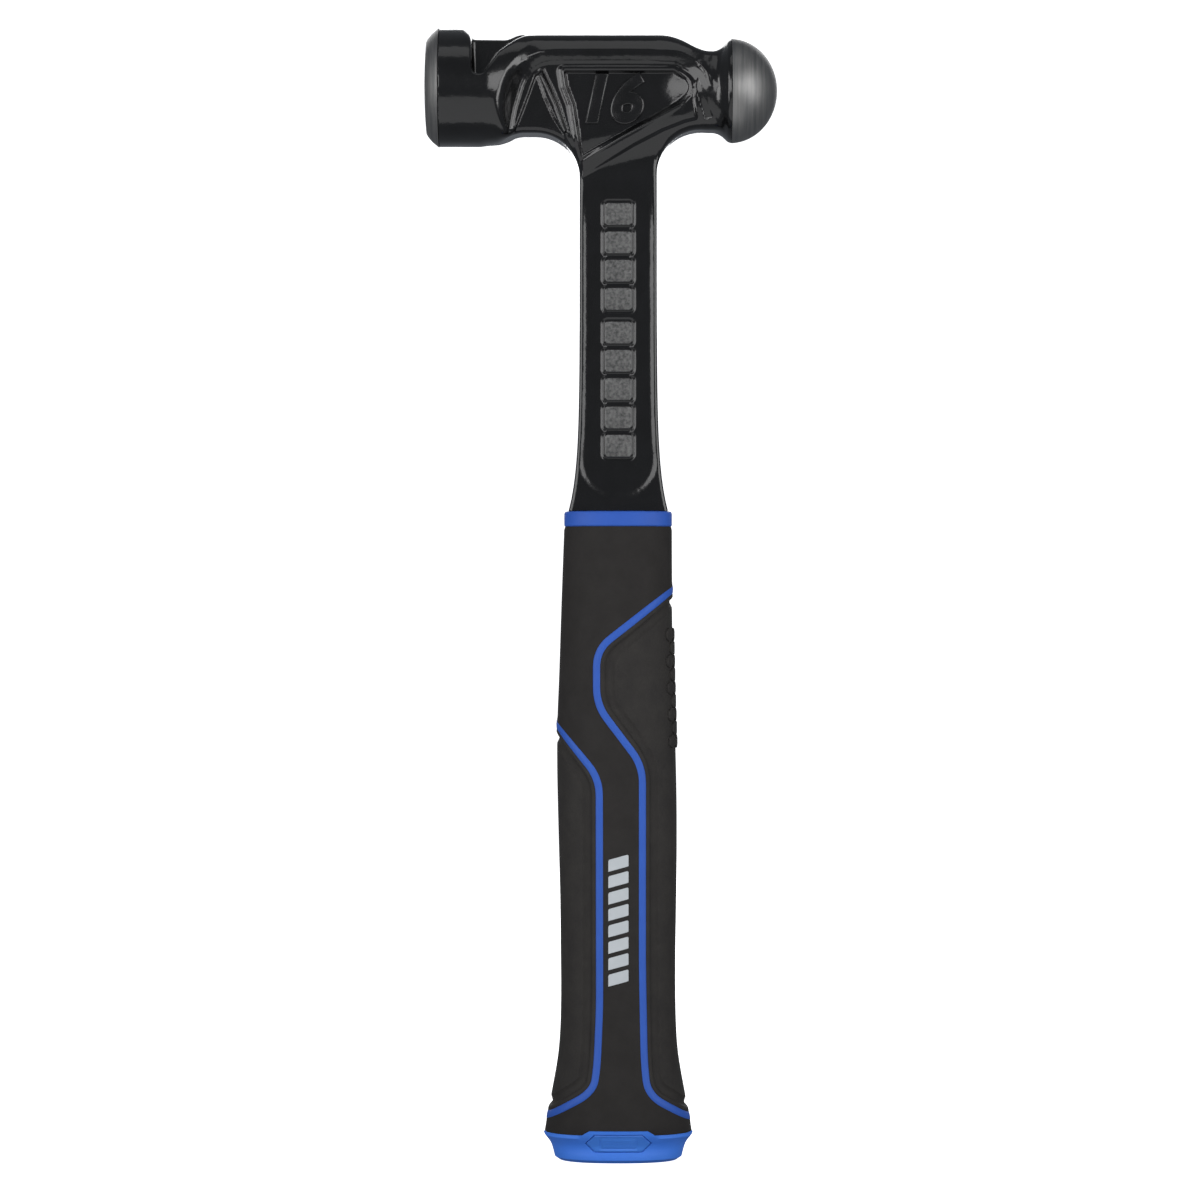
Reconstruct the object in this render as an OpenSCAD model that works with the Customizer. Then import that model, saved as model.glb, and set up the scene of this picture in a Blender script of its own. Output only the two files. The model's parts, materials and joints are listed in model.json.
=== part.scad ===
// Ball peen hammer: a one-piece steel forging with a grip moulded onto its tang.
// +Z runs up the shaft. The striking face looks along -X and the ball peen along +X.
// The origin is the centre of the butt's flat underside. Front and back are mirror images in Y.

/* [Head] */
// Height of the striking face's centre line above the butt
head_z = 310.9; // [304:0.1:330]
// Diameter of the barrel behind the striking face
barrel_d = 34.5; // [33:0.5:36]
// Reach of the striking face from the shaft's centre line
face_reach = 56.3; // [55:0.1:62]
// Diameter of the crowned face inside its bevel
face_d = 26.8; // [24:0.2:30]
// Length of the bevel round the face
face_bevel = 3.6; // [2:0.2:5]
// Height of the face's crown
crown = 0.6; // [0.3:0.1:1.2]
// Thickness of the body across its two cheeks
cheek_t = 20; // [18:0.5:24]
// Thickness of the web left standing behind the barrel's top
web_t = 9; // [6:0.5:12]
// Depth of the recessed field in each cheek
cheek_recess = 0.8; // [0.3:0.1:1.5]
// Diameter of the neck behind the peen
neck_d = 22.4; // [20:0.2:24]
// Diameter of the ball peen where it is widest
peen_d = 30.2; // [28:0.2:32]
// Reach of the peen's tip from the shaft's centre line
peen_reach = 46.2; // [45:0.2:52]

/* [Shaft] */
// Width of the shaft below the head
shaft_w = 22.4; // [20:0.2:25]
// Thickness of the shaft
shaft_t = 9.6; // [8.6:0.2:12]
// Width of the shoulder that stands over the grip
shoulder_w = 28.6; // [27:0.2:31]
// Depth of the long recess in each face of the shaft
shaft_recess = 0.6; // [0.3:0.1:1]
// Height of the raised blocks in the recess
block_raise = 0.5; // [0.2:0.1:1]

/* [Tang] */
// Width of the tang inside the grip
tang_w = 17; // [14:0.5:19]
// Thickness of the tang
tang_t = 7; // [6:0.5:8]
// Height of the tang's rounded end above the butt
tang_end = 30; // [27:1:60]
// Diameter of the keying holes through the tang
key_d = 8; // [5:0.5:10]

/* [Grip] */
// Height of the grip's top edge above the butt
grip_top = 183.4; // [170:0.1:200]
// Width of the grip at its waist
grip_w = 34; // [31:0.5:38]
// Depth of the grip at its waist, front to back
grip_t = 26.4; // [24:0.2:31]
// Width of the butt where it is widest
butt_w = 42.7; // [40:0.1:48]
// Thickness of the soft skin over the core
skin = 2.8; // [2:0.1:3.4]
// Width of the coloured piping
piping_w = 2.1; // [1.6:0.1:3]
// Height of the collar ring
collar_h = 4.4; // [3:0.1:6]
// Gap between the collar ring and the shoulder
collar_gap = 0.6; // [0.2:0.1:1.5]
// Height of the end cap's upper edge
cap_h = 8.2; // [7:0.1:11]
// Width of the badge plate in the end cap
badge_w = 19; // [14:0.5:22]
// Height of the badge plate
badge_h = 5.2; // [4:0.1:5.6]

/* [Hidden] */

$fn = 64;
far = 60;                                   // larger than any half size across the hammer

// Head
barrel_r = barrel_d / 2;
barrel_len = 17.8;                          // from the face to the run down to the cheeks
barrel_top_len = 12.7;                      // the same on the notched upper side
barrel_run = 8.2;                           // length of that run
barrel_back = -face_reach + barrel_len;
barrel_top_back = -face_reach + barrel_top_len;
cheek_start = barrel_back + barrel_run;     // where the cheeks reach their own thickness
overlap_x = -face_reach + 10;               // inside the barrel, where the body's outline ends
web_z = head_z + 13.5;                      // top of the web behind the barrel
crest_z = head_z + 15.2;                    // top of the body
belly_z = head_z - 13.7;                    // underside on the face side
neck_belly_z = head_z - 12.6;               // underside on the peen side
shoulder_x = 13;                            // where the top starts to fall towards the neck
peen_z = head_z - 0.9;                      // the peen's axis lies a little lower
dome_len = 13.7;                            // length of the peen's dome
neck_len = 5.5;                             // length of the neck between the body and the peen
peen_edge_x = peen_reach - dome_len;        // where the back of the peen meets its dome
neck_x = peen_edge_x - neck_len;            // where the top has come down to the neck
throat_r = 12.8;                            // fillets between the head and the shaft
cheek_bevel = 3;
scoop_r = 2.2;                              // floor of the scoops beside the web
buried = 0.5;                               // how far joined shapes reach into each other

// Shaft
shoulder_z = grip_top + collar_h + collar_gap;
flare_length = 12;                          // how fast the shoulder's flare dies away upwards
recess_rim = 1.3;                           // rim left on each side of the long recess
recess_top = head_z - 29;
block = [8.2, 7];                           // width and height of one raised block
block_pitch = 8.2;
block_groups = [[5, shoulder_z + 18.4], [4, shoulder_z + 60.9]];   // count, lowest block's centre
throat_thicken = 14;                        // height over which the shaft thickens to the cheeks

// Tang
key_count = 3;
key_pitch = (grip_top - tang_end) / (key_count + 1);

// Grip
squareness = 2.4;                           // exponent of the oval section, 2 is an ellipse
ring_points = 32;
collar_edge = 0.7;
tab_w = 17;                                 // raised tab in the middle of the cap's upper edge
tab_foot_w = 21;
tab_h = 1.3;
spigot = [14, 7, 10];                       // width, depth and height of the cap's spigot
spigot_play = 0.1;
badge_z = cap_h - 2.3;
badge_inset = 0.9;
badge_proud = 0.3;
waist = grip_w / 2;
depth = grip_t / 2;
butt = butt_w / 2;

// Stations of the grip's outer form: height, palm side, finger side, half depth
GRIP_FORM = [
    [0, 0.8 * butt, 0.8 * butt, 0.8 * butt - 3.4],
    [0.8, 0.86 * butt, 0.86 * butt, 0.86 * butt - 3.5],
    [2.1, 0.878 * butt, 0.878 * butt, 0.878 * butt - 3.7],
    [4.6, 0.915 * butt, 0.915 * butt, 0.915 * butt - 3.9],
    [cap_h - 0.2, butt, butt, butt - 4.1],
    [cap_h + 3.2, 0.965 * butt, 0.965 * butt, 0.965 * butt - 4],
    [cap_h + 10, 0.923 * butt, 0.923 * butt, 0.923 * butt - 4],
    [26.2, 0.848 * butt, 0.848 * butt, 0.848 * butt - 3.8],
    [34.2, waist + 0.1, waist + 0.1, depth + 0.4],
    [46.2, waist - 0.3, waist - 0.3, depth - 0.1],
    [60.2, waist - 0.2, waist - 0.3, depth - 0.1],
    [78.2, waist, waist, depth],
    [0.55 * grip_top, waist + 0.6, waist + 0.1, depth + 0.4],
    [0.66 * grip_top, waist + 0.9, waist - 0.3, depth + 0.5],
    [0.76 * grip_top, waist + 0.2, waist - 0.9, depth + 0.3],
    [0.88 * grip_top, waist - 0.5, waist - 1.3, depth - 0.4],
    [grip_top, waist - 1.3, waist - 1.4, depth - 1.9]
];

// Centre lines of the piping on the front of the grip, from the top side edge to the butt
FINGER_LINE = [
    [waist + 8, 0.936 * grip_top], [waist - 0.8, 0.902 * grip_top],
    [-6.3, 0.806 * grip_top], [-6.3, 0.719 * grip_top],
    [6.9, 0.624 * grip_top], [6.9, 56], [7.4, 29.2], [8.4, cap_h + 11.6], [butt, cap_h + 3.9]
];
PALM_LINE = [
    [-waist - 8, 0.742 * grip_top], [-waist - 0.6, 0.684 * grip_top],
    [-5.5, 0.604 * grip_top], [-5.4, 45], [-6.1, 28.2], [-7.2, cap_h + 12.6], [-butt, cap_h + 4.3]
];

function mix(a, b, t) = a * (1 - t) + b * t;
function ease(t) = (1 - cos(180 * t)) / 2;

// Points of an arc in the XZ plane
function arc(centre, r, from, to, steps) =
    [for (i = [0:steps]) let (a = mix(from, to, i / steps)) centre + r * [cos(a), sin(a)]];

// S-shaped run between two points
function s_run(a, b, steps) =
    [for (i = [0:steps]) [mix(a.x, b.x, i / steps), mix(a.y, b.y, ease(i / steps))]];

// A line of points with each inner corner rounded, starting a length r before the corner
function rounded(line, r, steps) = concat([line[0]], [
    for (i = [1:len(line) - 2])
        let (before = line[i - 1] - line[i], after = line[i + 1] - line[i],
             a = line[i] + before * min(0.45, r / norm(before)),
             b = line[i] + after * min(0.45, r / norm(after)))
        for (k = [0:steps])
            let (t = k / steps)
            mix(mix(a, line[i], t), mix(line[i], b, t), t)
], [line[len(line) - 1]]);

// The line moved sideways by d, to its right when walked downwards
function beside(line, d) = [
    for (i = [0:len(line) - 1])
        let (run = line[min(i + 1, len(line) - 1)] - line[max(i - 1, 0)])
        line[i] + d * [run.y, -run.x] / norm(run)
];

function reversed(list) = [for (i = [len(list) - 1:-1:0]) list[i]];

// Catmull-Rom station between row i and the next
function between_rows(rows, i, t) =
    let (a = rows[max(i - 1, 0)], b = rows[i], c = rows[i + 1],
         d = rows[min(i + 2, len(rows) - 1)])
    b + 0.5 * t * (c - a + t * (2 * a - 5 * b + 4 * c - d + t * (3 * (b - c) + d - a)));

function smooth_rows(rows, steps) = concat(
    [for (i = [0:len(rows) - 2], k = [0:steps - 1]) between_rows(rows, i, k / steps)],
    [rows[len(rows) - 1]]);

function oval_axis(value) = sign(value) * pow(abs(value), 2 / squareness);

// One oval ring of a station [z, palm, finger, half depth], grown outwards
function ring(row, grow) = [
    for (i = [0:ring_points - 1])
        let (a = 360 * i / ring_points, side = cos(a) < 0 ? row[1] : row[2])
        [(side + grow) * oval_axis(cos(a)), (row[3] + grow) * oval_axis(sin(a)), row[0]]
];

// Solid through the rings of a list of stations
module loft(rows, grow = 0) {
    last = len(rows) - 1;
    points = [for (row = rows) each ring(row, grow)];
    sides = [
        for (k = [0:last - 1], i = [0:ring_points - 1])
            let (a = k * ring_points + i, b = k * ring_points + (i + 1) % ring_points)
            each [[a, b + ring_points, b], [a, a + ring_points, b + ring_points]]
    ];
    bottom = [for (i = [0:ring_points - 1]) i];
    top = [for (i = [ring_points - 1:-1:0]) last * ring_points + i];
    polyhedron(points, concat([bottom, top], sides));
}

// Front outline in X and Z, made into a plate of the given thickness
module plate(points, thickness) {
    rotate([90, 0, 0]) linear_extrude(thickness, center = true) polygon(points);
}

// Profile of length along X and radius, turned about an axis along X at height z
module turned(points, z) {
    translate([0, 0, z]) rotate([0, 90, 0]) rotate_extrude($fn = 96)
        polygon([for (p = points) [p[1], p[0]]]);
}

// ---- forging ----

function shaft_side(z) =
    (shaft_w + (shoulder_w - shaft_w) * exp(-(z - shoulder_z) / flare_length)) / 2;

// Front outline of the body and shaft, clockwise from the barrel's top
function forging_outline() =
    let (half = shaft_w / 2, low = belly_z - throat_r - 1, top = shoulder_z,
         side = [for (i = [0:14]) mix(low, top, pow(i / 14, 0.6))])
    concat(
        [[overlap_x, web_z]],
        s_run([cheek_start - 1.8, web_z], [cheek_start + 3.6, crest_z], 5),
        s_run([shoulder_x, crest_z], [neck_x, head_z + 9.9], 8),
        [[neck_x, neck_belly_z]],
        arc([half + throat_r, neck_belly_z - throat_r], throat_r, 90, 180, 10),
        [for (z = side) [shaft_side(z), z]],
        reversed([for (z = side) [-shaft_side(z), z]]),
        arc([-half - throat_r, belly_z - throat_r], throat_r, 0, 90, 10),
        s_run([cheek_start + 2, belly_z], [barrel_back, head_z - barrel_r + buried], 5),
        [[overlap_x, head_z - barrel_r + buried]]
    );

// Half outline of the forging seen from the peen end: half thickness and height
function end_outline() =
    let (half = cheek_t / 2, thin = shaft_t / 2, low = neck_belly_z - throat_r)
    concat(
        [[half - cheek_bevel, crest_z + 1], [half, crest_z - cheek_bevel]],
        s_run([half, low + throat_thicken], [thin, low], 8),
        [[thin, shoulder_z - 1]]
    );

module barrel() {
    crown_r = (pow(face_d / 2, 2) + pow(crown, 2)) / (2 * crown);
    crown_points = [
        for (i = [0:6])
            let (r = face_d / 2 * i / 6)
            [-face_reach + crown_r - sqrt(crown_r * crown_r - r * r), r]
    ];
    turned(concat(crown_points, [
        [-face_reach + crown + face_bevel, barrel_r],
        [barrel_back, barrel_r],
        [cheek_start, cheek_t / 2],
        [cheek_start, 0]
    ]), head_z);
}

module peen() {
    dome = [
        for (i = [0:16])
            let (a = 90 * i / 16)
            [peen_edge_x + (peen_reach - peen_edge_x) * sin(a), peen_d / 2 * cos(a)]
    ];
    turned(concat([[0, 0], [0, neck_d / 2], [peen_edge_x - 4.6, neck_d / 2],
        [peen_edge_x - 0.6, peen_d / 2 - 0.3]], dome), peen_z);
}

// Scoops on both sides of the web, behind the barrel's top
module web_scoops() {
    low = [barrel_top_back + scoop_r + 1, head_z + 6];
    scoop = concat(arc(low, scoop_r, 180, 330, 8), [
        low + [4, 1.9], low + [5.6, 4.6], low + [8.4, 6.9], low + [14, 10.4],
        [low.x + 14, head_z + far], [low.x - scoop_r, head_z + far]
    ]);
    for (side = [-1, 1])
        translate([0, side * (web_t / 2 + far / 2), 0]) plate(scoop, far);
    translate([barrel_top_back, -far / 2, web_z]) cube([cheek_start - barrel_top_back, far, far]);
}

// Rounded triangle sunk into each cheek
module cheek_fields() {
    field = concat([[-15, head_z + 5]], arc([16.6, head_z + 2.2], 2.8, 90, -60, 8),
        [[3.5, head_z - 11], [-12.3, head_z - 19.5], [-12.6, head_z - 11]]);
    for (side = [-1, 1])
        translate([0, side * (cheek_t / 2 - cheek_recess + far / 2), 0]) plate(field, far);
}

// Long recess in each face of the shaft, with a round lower end
module shaft_recesses() {
    low = shoulder_z + 14.5;
    foot_r = shaft_side(low) - recess_rim;
    heights = [for (i = [0:8]) mix(recess_top, low, i / 8)];
    field = concat(
        [for (z = heights) [shaft_side(z) - recess_rim, z]],
        arc([0, low], foot_r, 0, -180, 24),
        reversed([for (z = heights) [-shaft_side(z) + recess_rim, z]])
    );
    for (side = [-1, 1])
        translate([0, side * (shaft_t / 2 - shaft_recess + far / 2), 0]) plate(field, far);
}

// Plain raised blocks in both recesses, in two groups
module shaft_blocks() {
    for (group = block_groups, i = [0:group[0] - 1])
        translate([0, 0, group[1] + i * block_pitch])
            cube([block.x, shaft_t - 2 * shaft_recess + 2 * block_raise, block.y], center = true);
}

// Bar with a round lower end, as long as the grip
module tang_bar() {
    translate([-tang_w / 2, -tang_t / 2, tang_end + tang_w / 2])
        cube([tang_w, tang_t, shoulder_z + 2 - tang_end - tang_w / 2]);
    translate([0, 0, tang_end + tang_w / 2]) rotate([90, 0, 0])
        cylinder(d = tang_w, h = tang_t, center = true);
}

module tang() {
    difference() {
        tang_bar();
        for (i = [1:key_count])
            translate([0, 0, tang_end + i * key_pitch]) rotate([90, 0, 0])
                cylinder(d = key_d, h = far, center = true);
    }
}

module forging() {
    color("#242424") {
        difference() {
            union() {
                barrel();
                intersection() {
                    plate(forging_outline(), far);
                    rotate([90, 0, 90]) linear_extrude(2 * far, center = true)
                        polygon(concat(end_outline(),
                            reversed([for (p = end_outline()) [-p[0], p[1]]])));
                }
                peen();
            }
            web_scoops();
            cheek_fields();
            shaft_recesses();
        }
        shaft_blocks();
        tang();
    }
}

// ---- grip ----

function finger_path() = rounded(FINGER_LINE, 5, 5);
function palm_path() = rounded(PALM_LINE, 5, 5);

module outer_form(grow = 0) {
    loft(smooth_rows(GRIP_FORM, 2), grow);
}

// Core under the skin, from the cap to the top
module core_form() {
    intersection() {
        outer_form(-skin);
        translate([-far / 2, -far / 2, cap_h]) cube([far, far, grip_top]);
    }
}

// Soft skin over the core, above the cap
module shell() {
    difference() {
        intersection() {
            outer_form();
            translate([-far / 2, -far / 2, cap_h]) cube([far, far, grip_top]);
        }
        outer_form(-skin);
    }
}

module finger_zone(margin) {
    plate(concat(beside(finger_path(), margin), [[far, 0], [far, grip_top]]), far);
}

module palm_zone(margin) {
    plate(concat(beside(palm_path(), margin), [[-far, 0], [-far, grip_top]]), far);
}

module tab_zone() {
    plate([[-tab_foot_w / 2, cap_h - tab_h], [-tab_foot_w / 2, cap_h], [-tab_w / 2, cap_h + tab_h],
        [tab_w / 2, cap_h + tab_h], [tab_foot_w / 2, cap_h], [tab_foot_w / 2, cap_h - tab_h]], far);
}

module core_sleeve() {
    color("#345CB0") difference() {
        core_form();
        tang();
        translate([0, 0, cap_h + spigot.z / 2])
            cube([spigot.x + 2 * spigot_play, spigot.y + 2 * spigot_play,
                spigot.z + 2 * spigot_play], center = true);
    }
}

module collar_ring() {
    top = grip_top + collar_h;
    row = GRIP_FORM[len(GRIP_FORM) - 1];
    rows = [
        [grip_top, row[1], row[2], row[3]],
        [top - collar_edge, row[1], row[2], row[3]],
        [top, row[1] - collar_edge, row[2] - collar_edge, row[3] - collar_edge]
    ];
    color("#345CB6") difference() {
        loft(rows);
        tang_bar();
    }
}

module grip_body() {
    color("#302E2D") difference() {
        shell();
        finger_zone(piping_w / 2);
        palm_zone(-piping_w / 2);
        tab_zone();
    }
}

module finger_panel() {
    color("#373533") intersection() {
        shell();
        finger_zone(-piping_w / 2);
    }
}

module palm_panel() {
    color("#3F3D3C") intersection() {
        shell();
        palm_zone(piping_w / 2);
    }
}

module finger_piping() {
    color("#345CAF") difference() {
        intersection() {
            shell();
            finger_zone(piping_w / 2);
        }
        finger_zone(-piping_w / 2);
    }
}

module palm_piping() {
    color("#345CAF") difference() {
        intersection() {
            shell();
            palm_zone(-piping_w / 2);
        }
        palm_zone(piping_w / 2);
    }
}

// Long hexagon, cut right through in Y
module badge_zone(side) {
    half = badge_w / 2;
    tip = badge_h / 2;
    translate([0, side * far / 2, badge_z])
        plate([[-half, 0], [tip - half, tip], [half - tip, tip],
            [half, 0], [half - tip, -tip], [tip - half, -tip]], far);
}

module end_cap() {
    color("#4D81D3") {
        difference() {
            union() {
                intersection() {
                    outer_form();
                    translate([-far / 2, -far / 2, 0]) cube([far, far, cap_h]);
                }
                intersection() {
                    shell();
                    tab_zone();
                }
            }
            difference() {
                union() {
                    badge_zone(-1);
                    badge_zone(1);
                }
                outer_form(-badge_inset);
            }
        }
        translate([0, 0, cap_h + spigot.z / 2]) cube(spigot, center = true);
    }
}

module cap_badge(side) {
    color("#487BCD") intersection() {
        badge_zone(side);
        difference() {
            outer_form(badge_proud);
            outer_form(-badge_inset);
        }
    }
}

module cap_badge_front() {
    cap_badge(-1);
}

module cap_badge_back() {
    cap_badge(1);
}

forging();
core_sleeve();
collar_ring();
grip_body();
finger_panel();
palm_panel();
finger_piping();
palm_piping();
end_cap();
cap_badge_front();
cap_badge_back();
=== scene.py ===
"""Ball peen hammer: the visible surfaces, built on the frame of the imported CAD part.

The frame's axes hold throughout: +Z runs up the shaft, the striking face looks along -X, the ball
peen along +X, and the front cheek faces -Y. Sizes in this file are in millimetres and become metres
when a mesh is made.
"""

import json
import logging
import math
from dataclasses import dataclass, field
from enum import Enum
from functools import cached_property
from typing import Callable, Sequence

import bpy
import numpy as np
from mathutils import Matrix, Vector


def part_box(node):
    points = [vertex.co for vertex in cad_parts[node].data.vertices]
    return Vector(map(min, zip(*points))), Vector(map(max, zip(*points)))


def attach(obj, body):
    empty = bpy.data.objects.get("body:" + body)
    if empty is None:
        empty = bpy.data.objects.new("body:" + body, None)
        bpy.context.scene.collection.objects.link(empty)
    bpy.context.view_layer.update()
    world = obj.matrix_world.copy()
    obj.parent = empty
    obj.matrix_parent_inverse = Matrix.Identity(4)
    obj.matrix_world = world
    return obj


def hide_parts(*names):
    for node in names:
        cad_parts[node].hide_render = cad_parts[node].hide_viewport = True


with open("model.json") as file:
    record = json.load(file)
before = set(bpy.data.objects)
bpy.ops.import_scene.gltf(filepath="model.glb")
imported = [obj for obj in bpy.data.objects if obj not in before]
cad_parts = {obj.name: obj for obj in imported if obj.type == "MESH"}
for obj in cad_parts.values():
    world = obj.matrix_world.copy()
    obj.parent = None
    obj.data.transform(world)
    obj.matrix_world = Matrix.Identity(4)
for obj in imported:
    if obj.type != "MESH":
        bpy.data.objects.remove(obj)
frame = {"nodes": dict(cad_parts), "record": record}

import openvdb
from mathutils import Matrix, Vector
from mathutils.geometry import delaunay_2d_cdt

log = logging.getLogger("hammer")

Array = np.ndarray
Point = tuple[float, float]
Point3 = tuple[float, float, float]
Rule = Callable[[Array, Array], Array]
MM = 0.001
# Length that a turning pattern runs for each radian round the axis, so that it draws out into rings
STREAK_STEP = 0.0006


class Slot(Enum):
    """The record's material slots."""

    STEEL = "forged_steel"
    TRIM = "blue_trim"
    CORE = "core_plastic"
    DARK = "dark_grip"
    SIDE = "side_grip"
    CAP = "cap_plastic"
    BADGE = "badge_plastic"


# ---------------------------------------------------------------- finishes


def linear(hex_colour: str) -> tuple[float, float, float, float]:
    """Turn an sRGB hex colour into linear RGBA.

    Args:
        hex_colour: six hex digits with a leading #.

    Returns:
        The colour as linear red, green, blue and an alpha of 1.
    """
    parts = [int(hex_colour[i : i + 2], 16) / 255 for i in (1, 3, 5)]
    low, high = 0.04045, 12.92
    return (*[p / high if p <= low else ((p + 0.055) / 1.055) ** 2.4 for p in parts], 1.0)


def add_node(
    tree: bpy.types.NodeTree, kind: str, settings: dict | None = None, links: dict | None = None
) -> bpy.types.Node:
    """Add a shader node, set its values and link its inputs.

    Args:
        tree: the material's node tree.
        kind: the node's type name without the ShaderNode prefix.
        settings: node properties by name, or input values by the input's name or number.
        links: output sockets by the input's name or number.

    Returns:
        The new node.
    """
    node = tree.nodes.new("ShaderNode" + kind)
    for name, value in (settings or {}).items():
        if isinstance(name, str) and hasattr(node, name):
            setattr(node, name, value)
        else:
            node.inputs[name].default_value = value
    for name, socket in (links or {}).items():
        tree.links.new(socket, node.inputs[name])
    return node


def per_mm(size: float) -> float:
    """Texture scale at which one cell of a pattern is this many millimetres."""
    return 1 / (size * MM)


@dataclass(frozen=True)
class Finish:
    """One real surface finish.

    Attributes:
        name: material name.
        colour: main sRGB colour.
        second: sRGB colour that the mottling turns to.
        roughness: microscopic roughness.
        metallic: 1 for bare metal.
        coat: weight of a clear gloss coat.
        specular: strength of the base reflection, 0.5 for most plastics and paints.
        grain: size of the fine grain in mm.
        grain_height: depth of the fine grain in mm.
        wave: size of the slow waviness in mm.
        wave_height: depth of the slow waviness in mm.
        mottle: size of the colour mottling in mm.
        streak: stretch of the patterns round the X axis, for ground metal.
        glow: light that the surface gives off.
    """

    name: str
    colour: str
    second: str
    roughness: float
    metallic: float = 0.0
    coat: float = 0.0
    specular: float = 0.5
    grain: float = 0.4
    grain_height: float = 0.0
    wave: float = 4.0
    wave_height: float = 0.0
    mottle: float = 6.0
    streak: bool = False
    glow: float = 0.0

    @cached_property
    def material(self) -> bpy.types.Material:
        """The procedural material, made once.

        Returns:
            The material.
        """
        material = bpy.data.materials.new(self.name)
        material.use_nodes = True
        tree = material.node_tree
        shader = tree.nodes["Principled BSDF"]
        where = self._place(tree)
        cloudy = {"Scale": per_mm(self.mottle), "Detail": 6.0, "Roughness": 0.6}
        patches = add_node(tree, "TexNoise", cloudy, {"Vector": where})
        ramp = add_node(tree, "ValToRGB", None, {"Fac": patches.outputs["Fac"]})
        stops = zip(ramp.color_ramp.elements, (0.36, 0.66), (self.colour, self.second))
        for stop, position, colour in stops:
            stop.position = position
            stop.color = linear(colour)
        tree.links.new(ramp.outputs["Color"], shader.inputs["Base Color"])
        values = {
            "Roughness": self.roughness, "Metallic": self.metallic, "Specular IOR Level": self.specular,
            "Coat Weight": self.coat, "Coat Roughness": 0.05,
        }
        if self.glow:
            values |= {"Emission Color": linear(self.colour), "Emission Strength": self.glow}
        for name, value in values.items():
            shader.inputs[name].default_value = value
        self._relief(tree, shader, where)
        return material

    def _place(self, tree: bpy.types.NodeTree) -> bpy.types.NodeSocket:
        """Object coordinates, turned into length, angle and radius for metal ground in a lathe.

        Args:
            tree: the material's node tree.

        Returns:
            The socket that the patterns read their places from.
        """
        where = add_node(tree, "TexCoord").outputs["Object"]
        if not self.streak:
            return where
        parts = add_node(tree, "SeparateXYZ", None, {"Vector": where}).outputs
        lift = add_node(tree, "Math", {"operation": "SUBTRACT", 1: PEEN_Z * MM}, {0: parts["Z"]}).outputs[0]
        square = {"operation": "POWER", 1: 2}
        squares = [add_node(tree, "Math", square, {0: leg}).outputs[0] for leg in (parts["Y"], lift)]
        total = add_node(tree, "Math", {"operation": "ADD"}, dict(enumerate(squares))).outputs[0]
        radius = add_node(tree, "Math", {"operation": "SQRT"}, {0: total}).outputs[0]
        angle = add_node(tree, "Math", {"operation": "ARCTAN2"}, {0: parts["Y"], 1: lift}).outputs[0]
        slow = add_node(tree, "Math", {"operation": "MULTIPLY", 1: STREAK_STEP}, {0: angle}).outputs[0]
        place = {"X": parts["X"], "Y": slow, "Z": radius}
        return add_node(tree, "CombineXYZ", None, place).outputs["Vector"]

    def _relief(self, tree: bpy.types.NodeTree, shader: bpy.types.Node, where: bpy.types.NodeSocket) -> None:
        """Add the waviness and the grain as bump.

        Args:
            tree: the material's node tree.
            shader: the surface shader.
            where: the socket that the patterns read their places from.
        """
        normal = None
        patterns = ((self.wave, self.wave_height, 2.0), (self.grain, self.grain_height, 4.0))
        for size, height, detail in patterns:
            if not height:
                continue
            noise = add_node(tree, "TexNoise", {"Scale": per_mm(size), "Detail": detail}, {"Vector": where})
            rise = {"Distance": height * MM, "Strength": 1.0}
            bump = add_node(tree, "Bump", rise, {"Height": noise.outputs["Fac"]})
            if normal:
                tree.links.new(normal, bump.inputs["Normal"])
            normal = bump.outputs["Normal"]
        if normal:
            tree.links.new(normal, shader.inputs["Normal"])
            if self.coat:
                tree.links.new(normal, shader.inputs["Coat Normal"])


# Black stoving enamel over the forging: glossy, with the slow waves of the forged skin under it
ENAMEL = Finish(
    "black_enamel", "#090909", "#0F0F10", 0.2, coat=0.65, specular=0.35,
    wave=6.0, wave_height=0.13, grain=0.9, grain_height=0.022,
)
# Bare steel ground in turning strokes
GROUND = Finish(
    "ground_steel", "#7E7E7E", "#959492", 0.48, metallic=1.0, streak=True,
    wave=0.7, wave_height=0.012, grain=0.16, grain_height=0.012, mottle=0.8,
)
# Tops of the raised blocks, ground after painting, with paint left in the pores
WORN = Finish(
    "worn_steel", "#767675", "#4A4A4A", 0.45, metallic=0.8, grain=0.3, grain_height=0.03, mottle=0.9,
)
# Matt thermoplastic elastomer of the main grip
RUBBER = Finish("soft_grip", "#282625", "#2C2A29", 0.8, specular=0.22, grain=0.25, grain_height=0.02)
# The same elastomer on the side panels, a shade lighter
RUBBER_SIDE = Finish(
    "soft_grip_side", "#2B2928", "#312F2D", 0.75, specular=0.25, grain=0.45, grain_height=0.06,
)
# Blue polypropylene of the piping and the collar
BLUE = Finish("blue_polypropylene", "#2D59B6", "#2F5CBA", 0.55, specular=0.3, grain=0.4, grain_height=0.006)
# Blue elastomer of the butt cap
CAP_BLUE = Finish("cap_blue", "#4381EC", "#4684EE", 0.55, specular=0.3, grain=0.4, grain_height=0.008)
# Harder blue plastic of the badge
BADGE_BLUE = Finish("badge_blue", "#4482E4", "#4786E8", 0.45, specular=0.4)
# Hard plastic of the core, hidden under the skin
CORE = Finish("core_plastic", "#2D59B6", "#2F5CBA", 0.5)
# Pale grey pad-printed ink
INK = Finish("print_ink", "#BEC3C7", "#B7BDC1", 0.5)
# White studio paper
PAPER = Finish("studio_paper", "#FFFFFF", "#FFFFFF", 0.9, specular=0.1, glow=1.0)


# ---------------------------------------------------------------- places from the frame


def mount_places() -> dict[str, Vector]:
    """The record's mounts by name, in millimetres."""
    return {m["name"]: Vector(m["pos_m"]) / MM for m in frame["record"]["mounts"]}


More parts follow.
